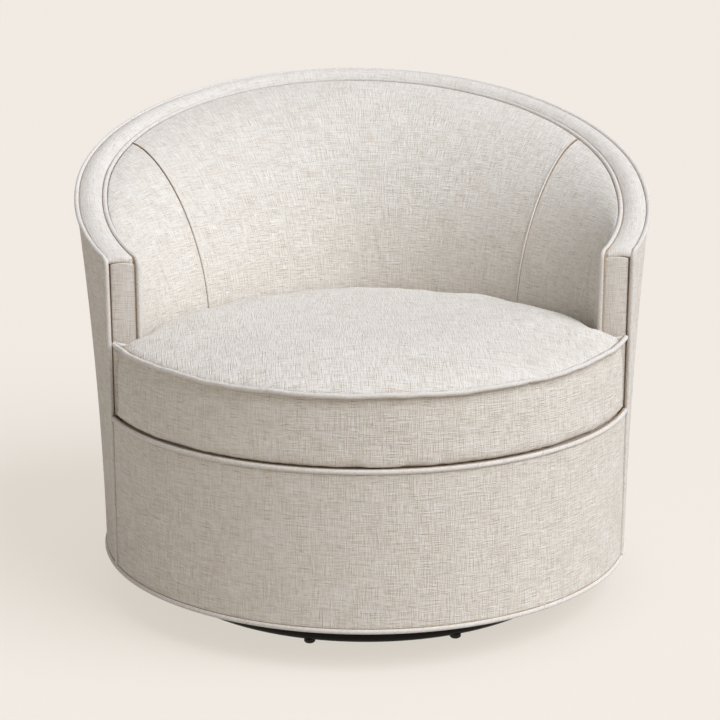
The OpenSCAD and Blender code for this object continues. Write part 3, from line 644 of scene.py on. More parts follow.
def topBand():
    s = bandSettings
    gap = coverSettings["besideWelt"] + tub["clear"]
    outerR, innerR = rimRadius - gap, innerRadius + gap
    across = spacing(outerR - innerR, s["across"]) / (outerR - innerR)
    rows = []
    for k in endShares(rimRadius * s["halfLength"], coverSettings["around"]):
        ox, oy = rimRing(k, outerR, sideY)
        ix, iy = rimRing(k, innerR, sideY)
        x, y = ix + (ox - ix) * across, iy + (oy - iy) * across
        share = np.clip((iy - sideY) / s["fullFrom"], 0, 1)
        crown = s["crown"] + s["fuller"] * share * share * (3 - 2 * share)
        rows.append(np.stack([x, y, rimHeight(y) + crown * 4 * across * (1 - across)], -1))

    def overFront(row):
        # quarter turn from the last row down to the seam on the arm front
        turned = []
        reach = sideY - armY
        for a in np.linspace(0, math.pi / 2, s["turned"] + 1)[1:]:
            down = row.copy()
            down[:, 1] = row[:, 1] - reach * math.sin(a)
            down[:, 2] = row[:, 2] - s["frontDrop"] * (1 - math.cos(a)) - reach * rimSlope * math.sin(a)
            turned.append(down)
        return turned

    face = np.array(overFront(rows[0])[::-1] + rows + overFront(rows[-1]))
    rolls = [s["frontRoll"]] * 2 + [coverSettings["edgeRoll"]] * 2
    sewnPanel("rimBand", face, (0, 0, 1), rolls, "top_band", thick=s["thick"], material=stretchedShadedLinen)


armFrontSettings = {
    "crown": 0.0022,
    "arch": 0.003,           # how much higher its top edge is in the middle
    "sunk": 0.0004,
    "seamGap": 0.0002,
    "lowRoll": 0.002,
    "topRoll": 0.0012,
    "across": 12,
    "upwards": 30,
}


def armFront(side):
    s = armFrontSettings
    gap = coverSettings["besideWelt"] + tub["clear"]
    outX = min(rimRing(1, rimRadius, armY)[0], drumRing(1, drumRadius, armY)[0]) - gap
    inX = rimRing(1, innerRadius, armY)[0] + gap
    top = rimHeight(armY) - bandSettings["frontDrop"] - s["seamGap"]
    columns = []
    for k in spacing(outX - inX, s["across"]) / (outX - inX):
        bulge = 4 * k * (1 - k)
        up = spacing(top + s["arch"] * bulge - deckTop, s["upwards"])
        y = armY + s["sunk"] - s["crown"] * bulge + 0 * up
        columns.append(np.stack([side * (inX + (outX - inX) * k) + 0 * up, y, deckTop + up], -1))
    face = np.array(columns)
    name, node = ("armFrontRight", "arm_front_right") if side > 0 else ("armFrontLeft", "arm_front_left")
    sewnPanel(name, face, (0, -1, 0), [coverSettings["edgeRoll"]] * 2 + [s["lowRoll"], s["topRoll"]], node,
              far=face + (0, tub["coverThick"], 0), material=stretchedShadedLinen)


padSettings = {
    "edgeRoll": 0.006,
    "seamRoll": 0.003,
    "seamGap": 0.0014,       # half of the room that a seam's welt takes
    "shareLength": 0.86,     # about how long one share of the way round the pads is
    "thick": 0.012,
    "columnSteps": 160,
    "backColumns": 110,
    "armColumns": 46,
    "upwards": 44,
    "fill": 0.85,
}


def insidePad(name, first, last, inner, rolls, node):
    s = padSettings
    length = s["shareLength"] * abs(last - first)
    t = first + (last - first) * spacing(length, inner) / length
    dense = padColumns(t, innerRadius - coverSettings["besideWelt"], s["columnSteps"])
    face = np.array([resample(line, s["upwards"]) for line in dense])
    inwards = face[len(t) // 2, face.shape[1] // 2] * (-1, -1, 0)
    piece = sewnPanel(name, face, inwards, rolls, node, thick=s["thick"])


def coverTub():
    s = coverSettings
    seam, back = s["seamRoll"], s["backSeam"]
    outerPanel("outsideBack", -back, back, [seam, seam])
    outerPanel("outsideRight", back, 1, [seam, s["edgeRoll"]])
    outerPanel("outsideLeft", -1, -back, [s["edgeRoll"], seam])
    frontPanel()
    topBand()
    armFront(1)
    armFront(-1)


def padTub():
    s = padSettings
    edge, seam = s["edgeRoll"], s["seamRoll"]
    share = tub["seamShare"]
    gap = s["seamGap"] / s["shareLength"]
    back, arm = s["backColumns"], s["armColumns"]
    insidePad("insideBack", -share + gap, share - gap, back, [seam, seam, 0, edge], "back_pad")
    insidePad("insideArmRight", share + gap, 1, arm, [seam, edge, 0, edge], "arm_pad_right")
    insidePad("insideArmLeft", -1, -share - gap, arm, [edge, seam, 0, edge], "arm_pad_left")


coverTub()
padTub()
print("stage: covers and inside pads ready")


def endTree(tree, geometry, material, result):
    # instances are made real and get their material
    real = addNode(tree, "GeometryNodeRealizeInstances", Geometry=geometry)
    paint = addNode(tree, "GeometryNodeSetMaterial", Geometry=real.outputs[0], Material=material)
    feed(tree, result["Geometry"], paint.outputs[0])


def weltTree():
    # a cord in a folded strip of cloth: round, a little uneven, its own cloth map in metres
    tree, given, result = nodeTree("weltCord", "GeometryNodeTree", [
        ("Geometry", "Geometry"),
        ("Float", "Radius"),
        ("Float", "Step", 0.003),
        ("Float", "Uneven", 0.00022),
        ("Int", "Sides", 14),
        ("Material", "Material"),
    ], [("Geometry", "Geometry")])

    def measured(curve, label):
        # keeps each point's length along a curve
        along = addNode(tree, "GeometryNodeSplineParameter")
        keep = addNode(tree, "GeometryNodeCaptureAttribute", Geometry=curve)
        keep.capture_items.new("FLOAT", label)
        feed(tree, keep.inputs[label], along.outputs["Length"])
        return keep.outputs[0], keep.outputs[label]

    path = addNode(tree, "GeometryNodeResampleCurve", {"mode": "LENGTH"}, Curve=given["Geometry"],
                   Length=given["Step"])
    ring = addNode(tree, "GeometryNodeCurveArc", Sweep_Angle=2 * math.pi, Resolution=given["Sides"],
                   Radius=given["Radius"])
    curve, long = measured(path.outputs[0], "long")
    profile, around = measured(ring.outputs[0], "around")
    tube = addNode(tree, "GeometryNodeCurveToMesh", Curve=curve, Profile_Curve=profile)
    cloth = addNode(tree, "GeometryNodeStoreNamedAttribute", {"data_type": "FLOAT2", "domain": "CORNER"},
                    Geometry=tube.outputs[0], Name="cloth", Value=joinVector(tree, long, around))
    ripple = mathNode(tree, "SUBTRACT", noiseNode(tree, None, weltSettings["ripple"]), 0.5)
    push = addNode(tree, "ShaderNodeVectorMath", {"operation": "SCALE"},
                   Vector=addNode(tree, "GeometryNodeInputNormal").outputs[0],
                   Scale=mathNode(tree, "MULTIPLY", ripple, given["Uneven"]))
    moved = addNode(tree, "GeometryNodeSetPosition", Geometry=cloth.outputs[0], Offset=push.outputs[0])
    endTree(tree, moved.outputs[0], given["Material"], result)
    return tree


def grown(name, source, tree, **inputs):
    # run a node tree on a source object and keep its result as a plain mesh
    modifier = source.modifiers.new("grow", "NODES")
    modifier.node_group = tree
    for item in tree.interface.items_tree:
        if item.in_out == "INPUT" and item.name in inputs:
            modifier[item.identifier] = inputs[item.name]
    bpy.context.view_layer.update()
    graph = bpy.context.evaluated_depsgraph_get()
    mesh = bpy.data.meshes.new_from_object(source.evaluated_get(graph))
    mesh.name = name
    source.modifiers.remove(modifier)
    bpy.data.objects.remove(source)
    shadeSmooth(mesh)
    return addToScene(name, mesh)


def pathCurve(name, points, closed=False):
    curve = bpy.data.curves.new(name, "CURVE")
    curve.dimensions = "3D"
    spline = curve.splines.new("POLY")
    spline.points.add(len(points) - 1)
    moved = np.asarray(points, dtype=float) + (0, axisY, 0)
    spline.points.foreach_set("co", np.concatenate([moved, np.ones((len(moved), 1))], 1).ravel())
    spline.use_cyclic_u = closed
    return addToScene(name, curve)


weltSettings = {
    "ripple": 150.0,         # scale of the noise that makes a welt uneven
    "merge": 0.00002,
    "rimSteps": 240,
    "cornerSteps": 10,
    "frontSteps": 30,        # down each arm front
    "deckSteps": 200,
    "hemSteps": 360,
    "turnOver": 0.02,        # the folds turn from the rim's direction to the front's over this depth
    "deckLean": 0.15,        # how steeply the folds, which carry the painted seam shade, rise towards the seam
    "hemLean": 0.25,
}
# the fold tube in each seam, which carries the painted seam shade
seamFoldShade = {
    "deep": 0.66,            # in welt radii
    "thick": 0.94,
    "uneven": 0.0003,
    "sides": 10,
    "step": 0.004,
}

weltCord = weltTree()


def weltPiece(name, points, node, inward, body="seat", radius=weltRadius, closed=False):
    # inward points from the welt into the seam, where its folded edges lie; that fold tube is coloured with
    # painted seam shade, a thin brown line in place of the seam's shadow
    source = pathCurve(name + "Path", points, closed)
    piece = grown(name, source, weltCord, Radius=radius, Material=shadedWeltLinen)
    closeMesh(piece, weltSettings["merge"])
    dress(piece, body, "linen_welt", shadedWeltLinen, node)
    s = seamFoldShade
    source = pathCurve(name + "FoldPath", points + unit(inward) * radius * s["deep"], closed)
    shadeFold = grown(name + "Fold", source, weltCord, Radius=radius * s["thick"], Uneven=s["uneven"],
                 Sides=s["sides"], Step=s["step"], Material=paintedSeamShade)
    closeMesh(shadeFold, weltSettings["merge"])
    dress(shadeFold, body, "linen_welt", paintedSeamShade)


def bent(start, corner, end, count):
    # soft corner between two straight stretches
    k = np.linspace(0, 1, count)[:, None]
    first = start + (corner - start) * k
    second = corner + (end - corner) * k
    return first + (second - first) * k


def rimWelt(name, radius, lowZ, footX, side, node):
    # side is 1 on the outer rim and -1 on the inner one
    s = weltSettings
    x, y = rimRing(np.linspace(0, 1, s["rimSteps"]), radius, sideY)
    line = np.stack([x, y, rimHeight(y) - tub["weltSink"]], -1)
    cornerX, cornerY = rimRing(1, radius, armY)
    corner = np.array([cornerX, cornerY, rimHeight(cornerY) - tub["weltSink"]])
    keep = line[np.linalg.norm(line - corner, axis=-1) > 2 * tub["cornerRound"]]
    towards = keep[-1] - corner
    start = corner + towards / np.linalg.norm(towards) * tub["cornerRound"]
    down = corner - (0, 0, tub["cornerRound"])
    foot = np.array([footX, armY, lowZ])
    straight = down + (foot - down) * np.linspace(0, 1, s["frontSteps"])[1:, None]
    right = np.concatenate([keep, bent(start, corner, down, s["cornerSteps"]), straight])
    points = np.concatenate([right[:0:-1] * (-1, 1, 1), right])
    normal = unit(np.stack([points[:, 0], points[:, 1] - rimBack, 0 * points[:, 0]], -1))
    onRim = np.clip((points[:, 1] - armY) / s["turnOver"], 0, 1)[:, None]
    inward = -side * normal - (0, 0, 1.0) * onRim + (0, 1.0, 0) * (1 - onRim)
    weltPiece(name, points, node, inward)


seamSettings = {"radius": 0.0017, "steps": 90}


def seamWelt(name, side, node):
    radius = innerRadius - coverSettings["besideWelt"] - weltRadius
    line = padColumns([side * tub["seamShare"]], radius, seamSettings["steps"])[0]
    inward = (line - np.array([0, rimBack * 0.5, 0])) * (1, 1, 0)
    weltPiece(name, line, node, inward, radius=seamSettings["radius"])


def roundWelt(name, angles, z, lean, node, closed=False):
    # angles run round the drum from its front
    r = drumRadius - tub["weltSink"]
    points = np.stack([r * np.sin(angles), -r * np.cos(angles), z + 0 * angles], -1)
    weltPiece(name, points, node, -points * (1, 1, 0) + (0, 0, lean), closed=closed)


deckHalf = math.acos(-armY / drumRadius) - weltRadius / drumRadius
deckAngles = np.linspace(-deckHalf, deckHalf, weltSettings["deckSteps"])
hemAngles = np.linspace(math.pi, -math.pi, weltSettings["hemSteps"] + 1)[:-1]

rimWelt("rimWeltOuter", rimRadius - tub["weltSink"], hemLow + 2 * weltRadius,
        drumRing(1, drumRadius - tub["weltSink"], armY)[0], 1, "outer_welt")
rimWelt("rimWeltInner", innerRadius, deckTop, rimRing(1, innerRadius, armY)[0], -1, "inner_welt")
seamWelt("backSeamRight", 1, "seam_welt_right")
seamWelt("backSeamLeft", -1, "seam_welt_left")
roundWelt("deckWelt", deckAngles, deckTop - weltRadius, weltSettings["deckLean"], "deck_welt")
roundWelt("hemWelt", hemAngles, hemLow + weltRadius, weltSettings["hemLean"], "hem_welt", closed=True)
print("stage: welts ready")

cushionSettings = {
    "over": 0.001,           # the belly of its front stands out past the drum by this much
    "gap": 0.0033,           # room beside the inside pads
    "frontGap": 0.0067,
    "earRound": 0.008,
    "drawnIn": 0.005,        # how far its sides are drawn in at the top seam
    "footSpread": 0.005,     # its lower edge is spread by this before the cloth rounds it off
    "crown": 0.036,
    "crownEdge": 0.048,      # the part of the top that rises most, in from the seam
    "crownReach": 0.26,      # and the whole way in to the middle, about
    "crownRings": (0.015, 0.035, 0.06, 0.09, 0.13, *np.linspace(0.17, 1, 11)),
    "riseShare": (0.6, 0.24),    # how much of the crown rises there, in front and added at the sides
    "riseSpeed": (2.2, 7.8),
    "earRise": 0.010,        # the top seam climbs this much towards the two front corners
    "voxel": 0.0062,
    "pressure": 4.0,
    "steps": 20,
    "quality": 5,
    "cap": 0.011,            # how far the simulation may move a point
    "smoothing": 0.5,        # strength of each round of smoothing
    "ease": 22,              # rounds of smoothing, which take the small puckers out of the top
    "even": 3,               # rounds over the whole, which take the remesh's steps out of its edges
    "startInset": 0.003,
    "seamPin": 0.0075,
    "lowPin": 0.002,
    "belly": 0.004,          # room for the swollen sides, in front and beside the pads
    "sideRoom": 0.0015,
    "frontFacing": -0.05,    # where the outline's normal has its y under this, it is the front
    "foamInset": 0.012,
    "foamRoom": 0.005,       # the foam stays this far under its cover
    "sunkWelt": 0.003,       # beside the pads the welt lies this much lower and deeper
    "weltTip": 30,           # its angle over the seam, in degrees
    "weltWave": 0.0013,
    "sideRings": 20,
    "topRings": 22,
    "seamSteps": 200,
    "roomSteps": 160,
    "fill": 0.9,
}
outlineSteps = {"round": 90, "corner": 9, "ear": 8}
fullness = {
    # how full the cushion is from the front over the ears and along the pads to the back
    "corner": 0.5,
    "ear": 0.7,
    "side": 1,
    "back": 0.74,
}
overhangSettings = {
    "size": 0.011,           # beside the pads the full top swells out over its own seam
    "from": 0.03,            # full from here to zero at reach, as shares of the crown's edge
    "reach": 0.35,
    "fade": 1.2,
    "beside": (6, -5),       # how it follows the fullness beside the pads and behind
    "behind": (2.5, -1.5),
    "least": 0.4,
}


def tOutline(radius, half, back, y, ear, steps=outlineSteps["round"]):
    # plan of the deck and the cushion: round in front, with ears in front of the arms
    x = math.sqrt(radius ** 2 - y ** 2)
    stop = math.acos(-y / radius) - ear / radius
    a = np.linspace(0, stop, steps)
    front = np.stack([radius * np.sin(a), -radius * np.cos(a)], -1)
    flat = np.array([x - ear, y])
    corner = bent(front[-1], np.array([x, y]), flat, outlineSteps["corner"])[1:]
    footX, footY = footRing(np.linspace(1, 0, steps), half, back, y)
    inner = np.linspace(flat, (footX[0], footY[0]), outlineSteps["ear"])[1:-1]
    right = np.concatenate([front, corner, inner, np.stack([footX, footY], -1)])
    return np.concatenate([right, right[-2:0:-1] * (-1, 1)])


def seatOutline(inset, steps=outlineSteps["round"]):
    s = cushionSettings
    return tOutline(drumRadius + s["over"] - inset, tub["footHalf"] - s["gap"] - inset,
                    tub["footBack"] - s["gap"] - inset, armY - s["frontGap"] - inset, s["earRound"], steps)


def seamLift(points):
    return cushionSettings["earRise"] * (np.abs(points[:, 0]) / drumRadius) ** 3


def seatFullness(steps=outlineSteps["round"]):
    # one value for each point of the outline
    f = fullness
    right = np.concatenate([
        np.zeros(steps),
        np.linspace(0, f["corner"], outlineSteps["corner"] - 1),
        np.linspace(f["ear"], f["side"], outlineSteps["ear"] - 2),
        np.linspace(f["side"], f["back"], steps),
    ])
    return np.concatenate([right, right[-2:0:-1]])


def outlineNormals(line):
    along = np.roll(line, -1, 0) - np.roll(line, 1, 0)
    return unit(np.stack([along[:, 1], -along[:, 0]], -1))


def overhang(u):
    s = overhangSettings
    swell = min(u / s["from"], 1) * max(0, 1 - u / s["reach"]) ** s["fade"]
    beside = np.clip(seatFullness() * s["beside"][0] + s["beside"][1], 0, 1)
    behind = np.clip(seatFullness() * s["behind"][0] + s["behind"][1], s["least"], 1)
    onPads = np.abs(seatOutline(0)[:, 0]) < tub["footHalf"]
    return (np.where(onPads, np.maximum(beside, behind), 0) * s["size"] * swell)[:, None]


def cushionRise(u, k):
    # the top fills out faster beside the pads than along its front
    s = cushionSettings
    full = seatFullness()
    share = s["riseShare"][0] + s["riseShare"][1] * full
    speed = s["riseSpeed"][0] + s["riseSpeed"][1] * full
    return share * (1 - (1 - u) ** speed) + (1 - share) * (1 - k * k)


def cushionShape(low, inset):
    s = cushionSettings
    middle = np.array([0, seatMiddle])
    crown = s["crown"] - inset
    rings = []

    def ring(points, z):
        rings.append(np.concatenate([points, (z + 0 * points[:, 0])[:, None]], 1))

    for k in np.linspace(0, 1, s["sideRings"]):
        drawn = s["drawnIn"] * max(2 * k - 1, 0) ** 3 - s["footSpread"] * max(1 - 2 * k, 0) ** 3
        points = seatOutline(inset + drawn)
        ring(points, low + (seatLine + seamLift(points) - low) * k)
    left = 1 - s["crownEdge"] / s["crownReach"]
    for u in s["crownRings"]:
        points = seatOutline(inset + s["drawnIn"] + u * s["crownEdge"])
        points = points + outlineNormals(points) * overhang(u)
        lift = seamLift(points) * (1 - 0.5 * u)
        ring(points, seatLine + lift + crown * cushionRise(u, 1 + (left - 1) * u))
    last = seatOutline(inset + s["drawnIn"] + s["crownEdge"])
    for k in np.linspace(1, 0, s["topRings"])[1:-1]:
        lift = seamLift(last) * 0.5 * k * k
        ring(middle + (last - middle) * k, seatLine + lift + crown * cushionRise(1, k * left))
    return closedRings(rings, [*middle, low], [*middle, seatLine + crown])


def keepInside(points):
    # a swollen side stops at the pads beside it, and a little way past the drum in front
    s = cushionSettings
    line = seatOutline(0, s["roomSteps"])
    out = outlineNormals(line)
    room = np.where(out[:, 1] < s["frontFacing"], s["belly"], s["sideRoom"])
    plan = points[:, :2] - (0, axisY)
    for start in range(0, len(plan), 4000):      # some at a time, to spare memory
        part = plan[start:start + 4000]
        near = ((part[:, None] - line[None]) ** 2).sum(-1).argmin(1)
        past = ((part - line[near]) * out[near]).sum(1) - room[near]
        part -= out[near] * np.clip(past, 0, None)[:, None]
    points[:, :2] = plan + (0, axisY)
    return points


def applyModifiers(piece):
    graph = bpy.context.evaluated_depsgraph_get()
    mesh = bpy.data.meshes.new_from_object(piece.evaluated_get(graph))
    piece.modifiers.clear()
    piece.data = mesh


def readMesh(items, label, width=1, kind=np.float32):
    values = np.empty(len(items) * width, dtype=kind)
    items.foreach_get(label, values)
    return values.reshape(-1, width) if width > 1 else values


def meshPoints(piece):
    return readMesh(piece.data.vertices, "co", 3).astype(float)


def setPoints(piece, points):
    piece.data.vertices.foreach_set("co", points.astype(np.float32).ravel())


def pinCushion(piece, points, low):
    # the top seam and the underside are held while the rest swells
    s = cushionSettings
    line = seatOutline(s["startInset"] + s["drawnIn"], s["seamSteps"])
    seams = np.concatenate([line, (seatLine + seamLift(line))[:, None]], 1) + (0, axisY, 0)
    tree = KDTree(len(seams))
    for index, point in enumerate(seams):
        tree.insert(point, index)
    tree.balance()
    held = [index for index, point in enumerate(points)
            if tree.find(point)[2] < s["seamPin"] or point[2] < low + s["lowPin"]]
    piece.vertex_groups.new(name="pins").add(held, 1.0, "REPLACE")


def swellCushion(piece, low):
    s = cushionSettings
    before = meshPoints(piece)
    pinCushion(piece, before, low)
    cloth = piece.modifiers.new("cloth", "CLOTH").settings
    cloth.use_pressure = True
    cloth.uniform_pressure_force = s["pressure"]
    cloth.effector_weights.gravity = 0
    cloth.vertex_group_mass = "pins"
    cloth.quality = s["quality"]
    for step in range(s["steps"]):
        bpy.context.scene.frame_set(step + 1)
    applyModifiers(piece)
    move = meshPoints(piece) - before
    far = np.linalg.norm(move, axis=1, keepdims=True)
    print("cushion swelled by", round(float(far.max()), 4), "m, kept to", s["cap"], "m", flush=True)
    after = keepInside(before + move * np.minimum(1, s["cap"] / np.maximum(far, 1e-9)))
    after[:, 2] = np.maximum(after[:, 2], low)
    setPoints(piece, after)
    bpy.context.scene.frame_set(1)
    for name in ("ease", "even"):
        smooth = piece.modifiers.new(name, "SMOOTH")
        smooth.factor = s["smoothing"]
        smooth.iterations = s[name]
        if name == "ease":
            smooth.vertex_group = "pins"
            smooth.invert_vertex_group = True
    applyModifiers(piece)


def seatCushion():
    s = cushionSettings
    low = cushionBox[0].z
    piece = meshPiece("seatCushion", *cushionShape(low, s["startInset"]))
    closeMesh(piece, ringMerge)
    remesh = piece.modifiers.new("remesh", "REMESH")
    remesh.mode = "VOXEL"
    remesh.voxel_size = s["voxel"]
    applyModifiers(piece)
    swellCushion(piece, low)
    finer = piece.modifiers.new("finer", "SUBSURF")
    finer.levels = finer.render_levels = 1
    applyModifiers(piece)
    points = pressPocket(meshPoints(piece), low)
    setPoints(piece, points)
    clothMap(piece)
    shadeSmooth(piece.data)
    dress(piece, "cushion", "linen", panelLinen, "cushion_cover")
    print("cushion's crown at", round(float(points[:, 2].max()), 4), "m")
    return piece


def pressPocket(points, low):
    # room for the zip in the flat underside, with straight upright walls
    s = zipSettings
    start, end = np.array(tapeBox)[:, :2]
    half = (end - start) / 2 + s["room"]
    middle = (end + start) / 2
    plan = np.abs(points[:, :2] - middle)
    under = points[:, 2] < low + s["room"]
    inside = under & (plan < half).all(1)
    points[inside, 2] = tapeBox[1].z + s["lining"]
    for axis in (0, 1):
        near = under & (np.abs(plan[:, axis] - half[axis]) < s["snap"])
        near &= plan[:, 1 - axis] < half[1 - axis] + s["snap"]
        way = np.sign(points[near, axis] - middle[axis])
        points[near, axis] = middle[axis] + way * half[axis]
    return points


clothSettings = {
    "flat": 0.72,            # faces turned up or down more than this take their cloth from above
    "overSeam": 0.004,       # and so do faces this far over the seam
}


def clothMap(piece):
    # the top takes its cloth from above, the boxing takes it round the cushion
    mesh = piece.data
    flat = np.abs(readMesh(mesh.polygons, "normal", 3)[:, 2]) > clothSettings["flat"]
    flat |= readMesh(mesh.polygons, "center", 3)[:, 2] > seatLine + clothSettings["overSeam"]
    flat = np.repeat(flat, readMesh(mesh.polygons, "loop_total", kind=np.int32))
    p = meshPoints(piece)[readMesh(mesh.loops, "vertex_index", kind=np.int32)]
    boxing = np.stack([np.arctan2(p[:, 0], -(p[:, 1] - axisY)) * drumRadius, p[:, 2]], -1)
    uv = np.where(flat[:, None], p[:, :2], boxing)
    layer = mesh.uv_layers.get("cloth") or mesh.uv_layers.new(name="cloth")
    layer.data.foreach_set("uv", uv.astype(np.float32).ravel())


# share, radians for each metre and shift of the waves along a sewn edge, which is never quite even
edgeWaves = [(1.0, 37, 1.0), (0.6, 83, 2.2), (0.4, 151, 0.0)]


def wavy(points, size):
    at = lengths(points)
    return size * sum(share * np.sin(at * rate + shift) for share, rate, shift in edgeWaves) / 2


def cushionWelt():
    s = cushionSettings
    tip = math.radians(s["weltTip"])
    ring = seatOutline(s["drawnIn"] - weltRadius * math.cos(tip), s["seamSteps"])
    sunk = s["sunkWelt"] * seatFullness(s["seamSteps"])
    z = seatLine + seamLift(ring) + weltRadius * math.sin(tip) - sunk
    ring = ring - outlineNormals(ring) * sunk[:, None]
    points = np.concatenate([ring, z[:, None]], 1)
    points[:, 2] += wavy(points, s["weltWave"])
    inward = -points * (1, 1, 0) - (0, 0, 0.1)
    weltPiece("cushionWelt", points, "cushion_welt", inward, body="cushion", closed=True)


zipSettings = {
    "room": 0.0014,
    "lining": 0.0004,
    "snap": 0.0032,          # about the spacing of the cushion's points
    "pitch": 0.002,
    "tooth": (0.0012, 0.0040, 0.0013),
    "apart": 0.0016,
    "end": 0.004,            # bare tape at each end
}


def teethTree():
    # one row of teeth, each second one set to the other side
    s = zipSettings
    tree, given, result = nodeTree("zipTeeth", "GeometryNodeTree", [
        ("Geometry", "Geometry"),
        ("Int", "Count"),
        ("Vector", "Start"),
        ("Material", "Material"),
    ], [("Geometry", "Geometry")])
    line = addNode(tree, "GeometryNodeMeshLine", Offset=(s["pitch"], 0, 0), Count=given["Count"],
                   Start_Location=given["Start"])
    second = mathNode(tree, "MODULO", addNode(tree, "GeometryNodeInputIndex").outputs[0], 2.0)
    aside = mathNode(tree, "MULTIPLY_ADD", second, s["apart"], -s["apart"] / 2)
    moved = addNode(tree, "GeometryNodeSetPosition", Geometry=line.outputs[0],
                    Offset=joinVector(tree, 0.0, aside))
    tooth = addNode(tree, "GeometryNodeMeshCube", Size=s["tooth"])
    rows = addNode(tree, "GeometryNodeInstanceOnPoints", Points=moved.outputs[0], Instance=tooth.outputs[0])
    endTree(tree, rows.outputs[0], given["Material"], result)
    return tree


def nylonMaterial():
    material, tree, shader = newMaterial("nylon teeth")
    cloud = noiseNode(tree, objectPlace(tree), 300.0, 3.0, 0.6)
    fill(tree, shader, Base_Color=mixColor(tree, cloud, (0.55, 0.51, 0.44), (0.75, 0.71, 0.64)),
         Roughness=rangeNode(tree, cloud, 0.3, 0.7, 0.35, 0.5))
    return material


def zipTeeth():
    s = zipSettings
    long = tapeBox[1].x - tapeBox[0].x - 2 * s["end"]
    seed = addToScene("teethSeed", bpy.data.meshes.new("teethSeed"))
    start = (tapeBox[0].x + s["end"], (tapeBox[0].y + tapeBox[1].y) / 2, tapeBox[0].z - s["tooth"][2] / 2)
    nylon = nylonMaterial()
    count = int(long / s["pitch"]) + 1
    piece = grown("zipTeeth", seed, teethTree(), Count=count, Start=start, Material=nylon)
    shadeSmooth(piece.data, False)
    dress(piece, "cushion", "zip_tape", nylon)


def foamMaterial():
    material, tree, shader = newMaterial("open foam")
    place = objectPlace(tree)
    cells = addNode(tree, "ShaderNodeTexVoronoi", Scale=900.0, Vector=place).outputs["Distance"]
    cloud = noiseNode(tree, place, 30.0)
    color = mixColor(tree, cells, (0.62, 0.52, 0.33), (0.86, 0.80, 0.61))
    color = mixColor(tree, mathNode(tree, "MULTIPLY", cloud, 0.4), color, (0.80, 0.70, 0.45))
    fill(tree, shader, Base_Color=color, Roughness=0.95)
    relief(tree, shader, cells, 0.7, 0.0006)
    return material


openFoam = foamMaterial()


def cushionFoam(cover):
    s = cushionSettings
    piece = meshPiece("cushionFoam", *cushionShape(cushionBox[0].z + s["foamInset"], s["foamInset"]))
    closeMesh(piece, ringMerge)
    under = BVHTree.FromObject(cover, bpy.context.evaluated_depsgraph_get())
    for vert in piece.data.vertices:
        place, normal, _, _ = under.find_nearest(vert.co)
        if (vert.co - place).dot(normal) > -s["foamRoom"]:
            vert.co = place - normal * s["foamRoom"]
    dress(piece, "cushion", "foam", openFoam, "cushion_core")


deckSettings = {
    "gap": 0.003,
    "edge": 0.007,           # how round its upper edge is
    "earRound": 0.008,
    "edgeRings": 6,
    "topRings": 9,
    "fill": 0.8,
}


def deckCover():
    # the foam deck in its platform cloth, under the cushion
    s = deckSettings
    low, high = deckPadBox[0].z, deckPadBox[1].z
    turns = [(s["edge"] * (1 - math.cos(a)), high - s["edge"] * (1 - math.sin(a)))
             for a in np.linspace(0, math.pi / 2, s["edgeRings"] + 1)[1:]]
    rings = []
    for inset, z in [(0, low), (0, high - s["edge"])] + turns:
        gap = s["gap"] + inset
        line = tOutline(deckPadRadius - inset, tub["footHalf"] - gap, tub["footBack"] - gap,
                        armY - gap, s["earRound"])
        rings.append(np.concatenate([line, np.full((len(line), 1), z)], 1))
    top = rings[-1]
    middle = np.array([0, seatMiddle, high])
    for k in np.linspace(1, 0, s["topRings"])[1:-1]:
        rings.append(middle + (top - middle) * (k, k, 1))
    piece = meshPiece("deckCover", *closedRings(rings, [0, seatMiddle, low], middle))
    closeMesh(piece, ringMerge)
    clothMap(piece)
    dress(piece, "seat", "linen", deckLinen, "deck_pad")


cover = seatCushion()
cushionWelt()
cushionFoam(cover)
deckCover()
zipTeeth()
print("stage: seat cushion ready")


scuffSettings = {
    "marks": (0.45, 0.72),   # where worn marks begin and are full
    "fineScale": 18.0,       # of the fine noise, against the marks' scale
}


def scuffGroup():
    # uneven sheen and small marks for painted, plated and moulded pieces
    tree, given, result = nodeTree("scuffs", "ShaderNodeTree", [
        ("Vector", "Vector"),
        ("Float", "Scale"),
        ("Color", "Base"),
        ("Color", "Worn"),
        ("Float", "Smooth"),
        ("Float", "Rough"),
    ], surfaceOutputs)
    cloud = noiseNode(tree, given["Vector"], given["Scale"], 4.0)
    fineScale = mathNode(tree, "MULTIPLY", given["Scale"], scuffSettings["fineScale"])
    fine = noiseNode(tree, given["Vector"], fineScale)
    marks = rangeNode(tree, cloud, *scuffSettings["marks"], 0.0, 1.0)
    spread = mathNode(tree, "SUBTRACT", given["Rough"], given["Smooth"])
    feed(tree, result["Color"], mixColor(tree, marks, given["Base"], given["Worn"]))
    feed(tree, result["Roughness"], mathNode(tree, "MULTIPLY_ADD", cloud, spread, given["Smooth"]))
    feed(tree, result["Height"], fine)
    return tree


grainSettings = {
    "alongFibres": 7.0,
    "acrossFibres": 120.0,
    "layer": 0.0036,         # height of two layers of plywood
    "layerShade": 0.22,
    "poreShade": 0.35,
    "shades": (0.45, 0.95),  # from the dark wood to the light
    "rough": (0.75, 0.6),
}


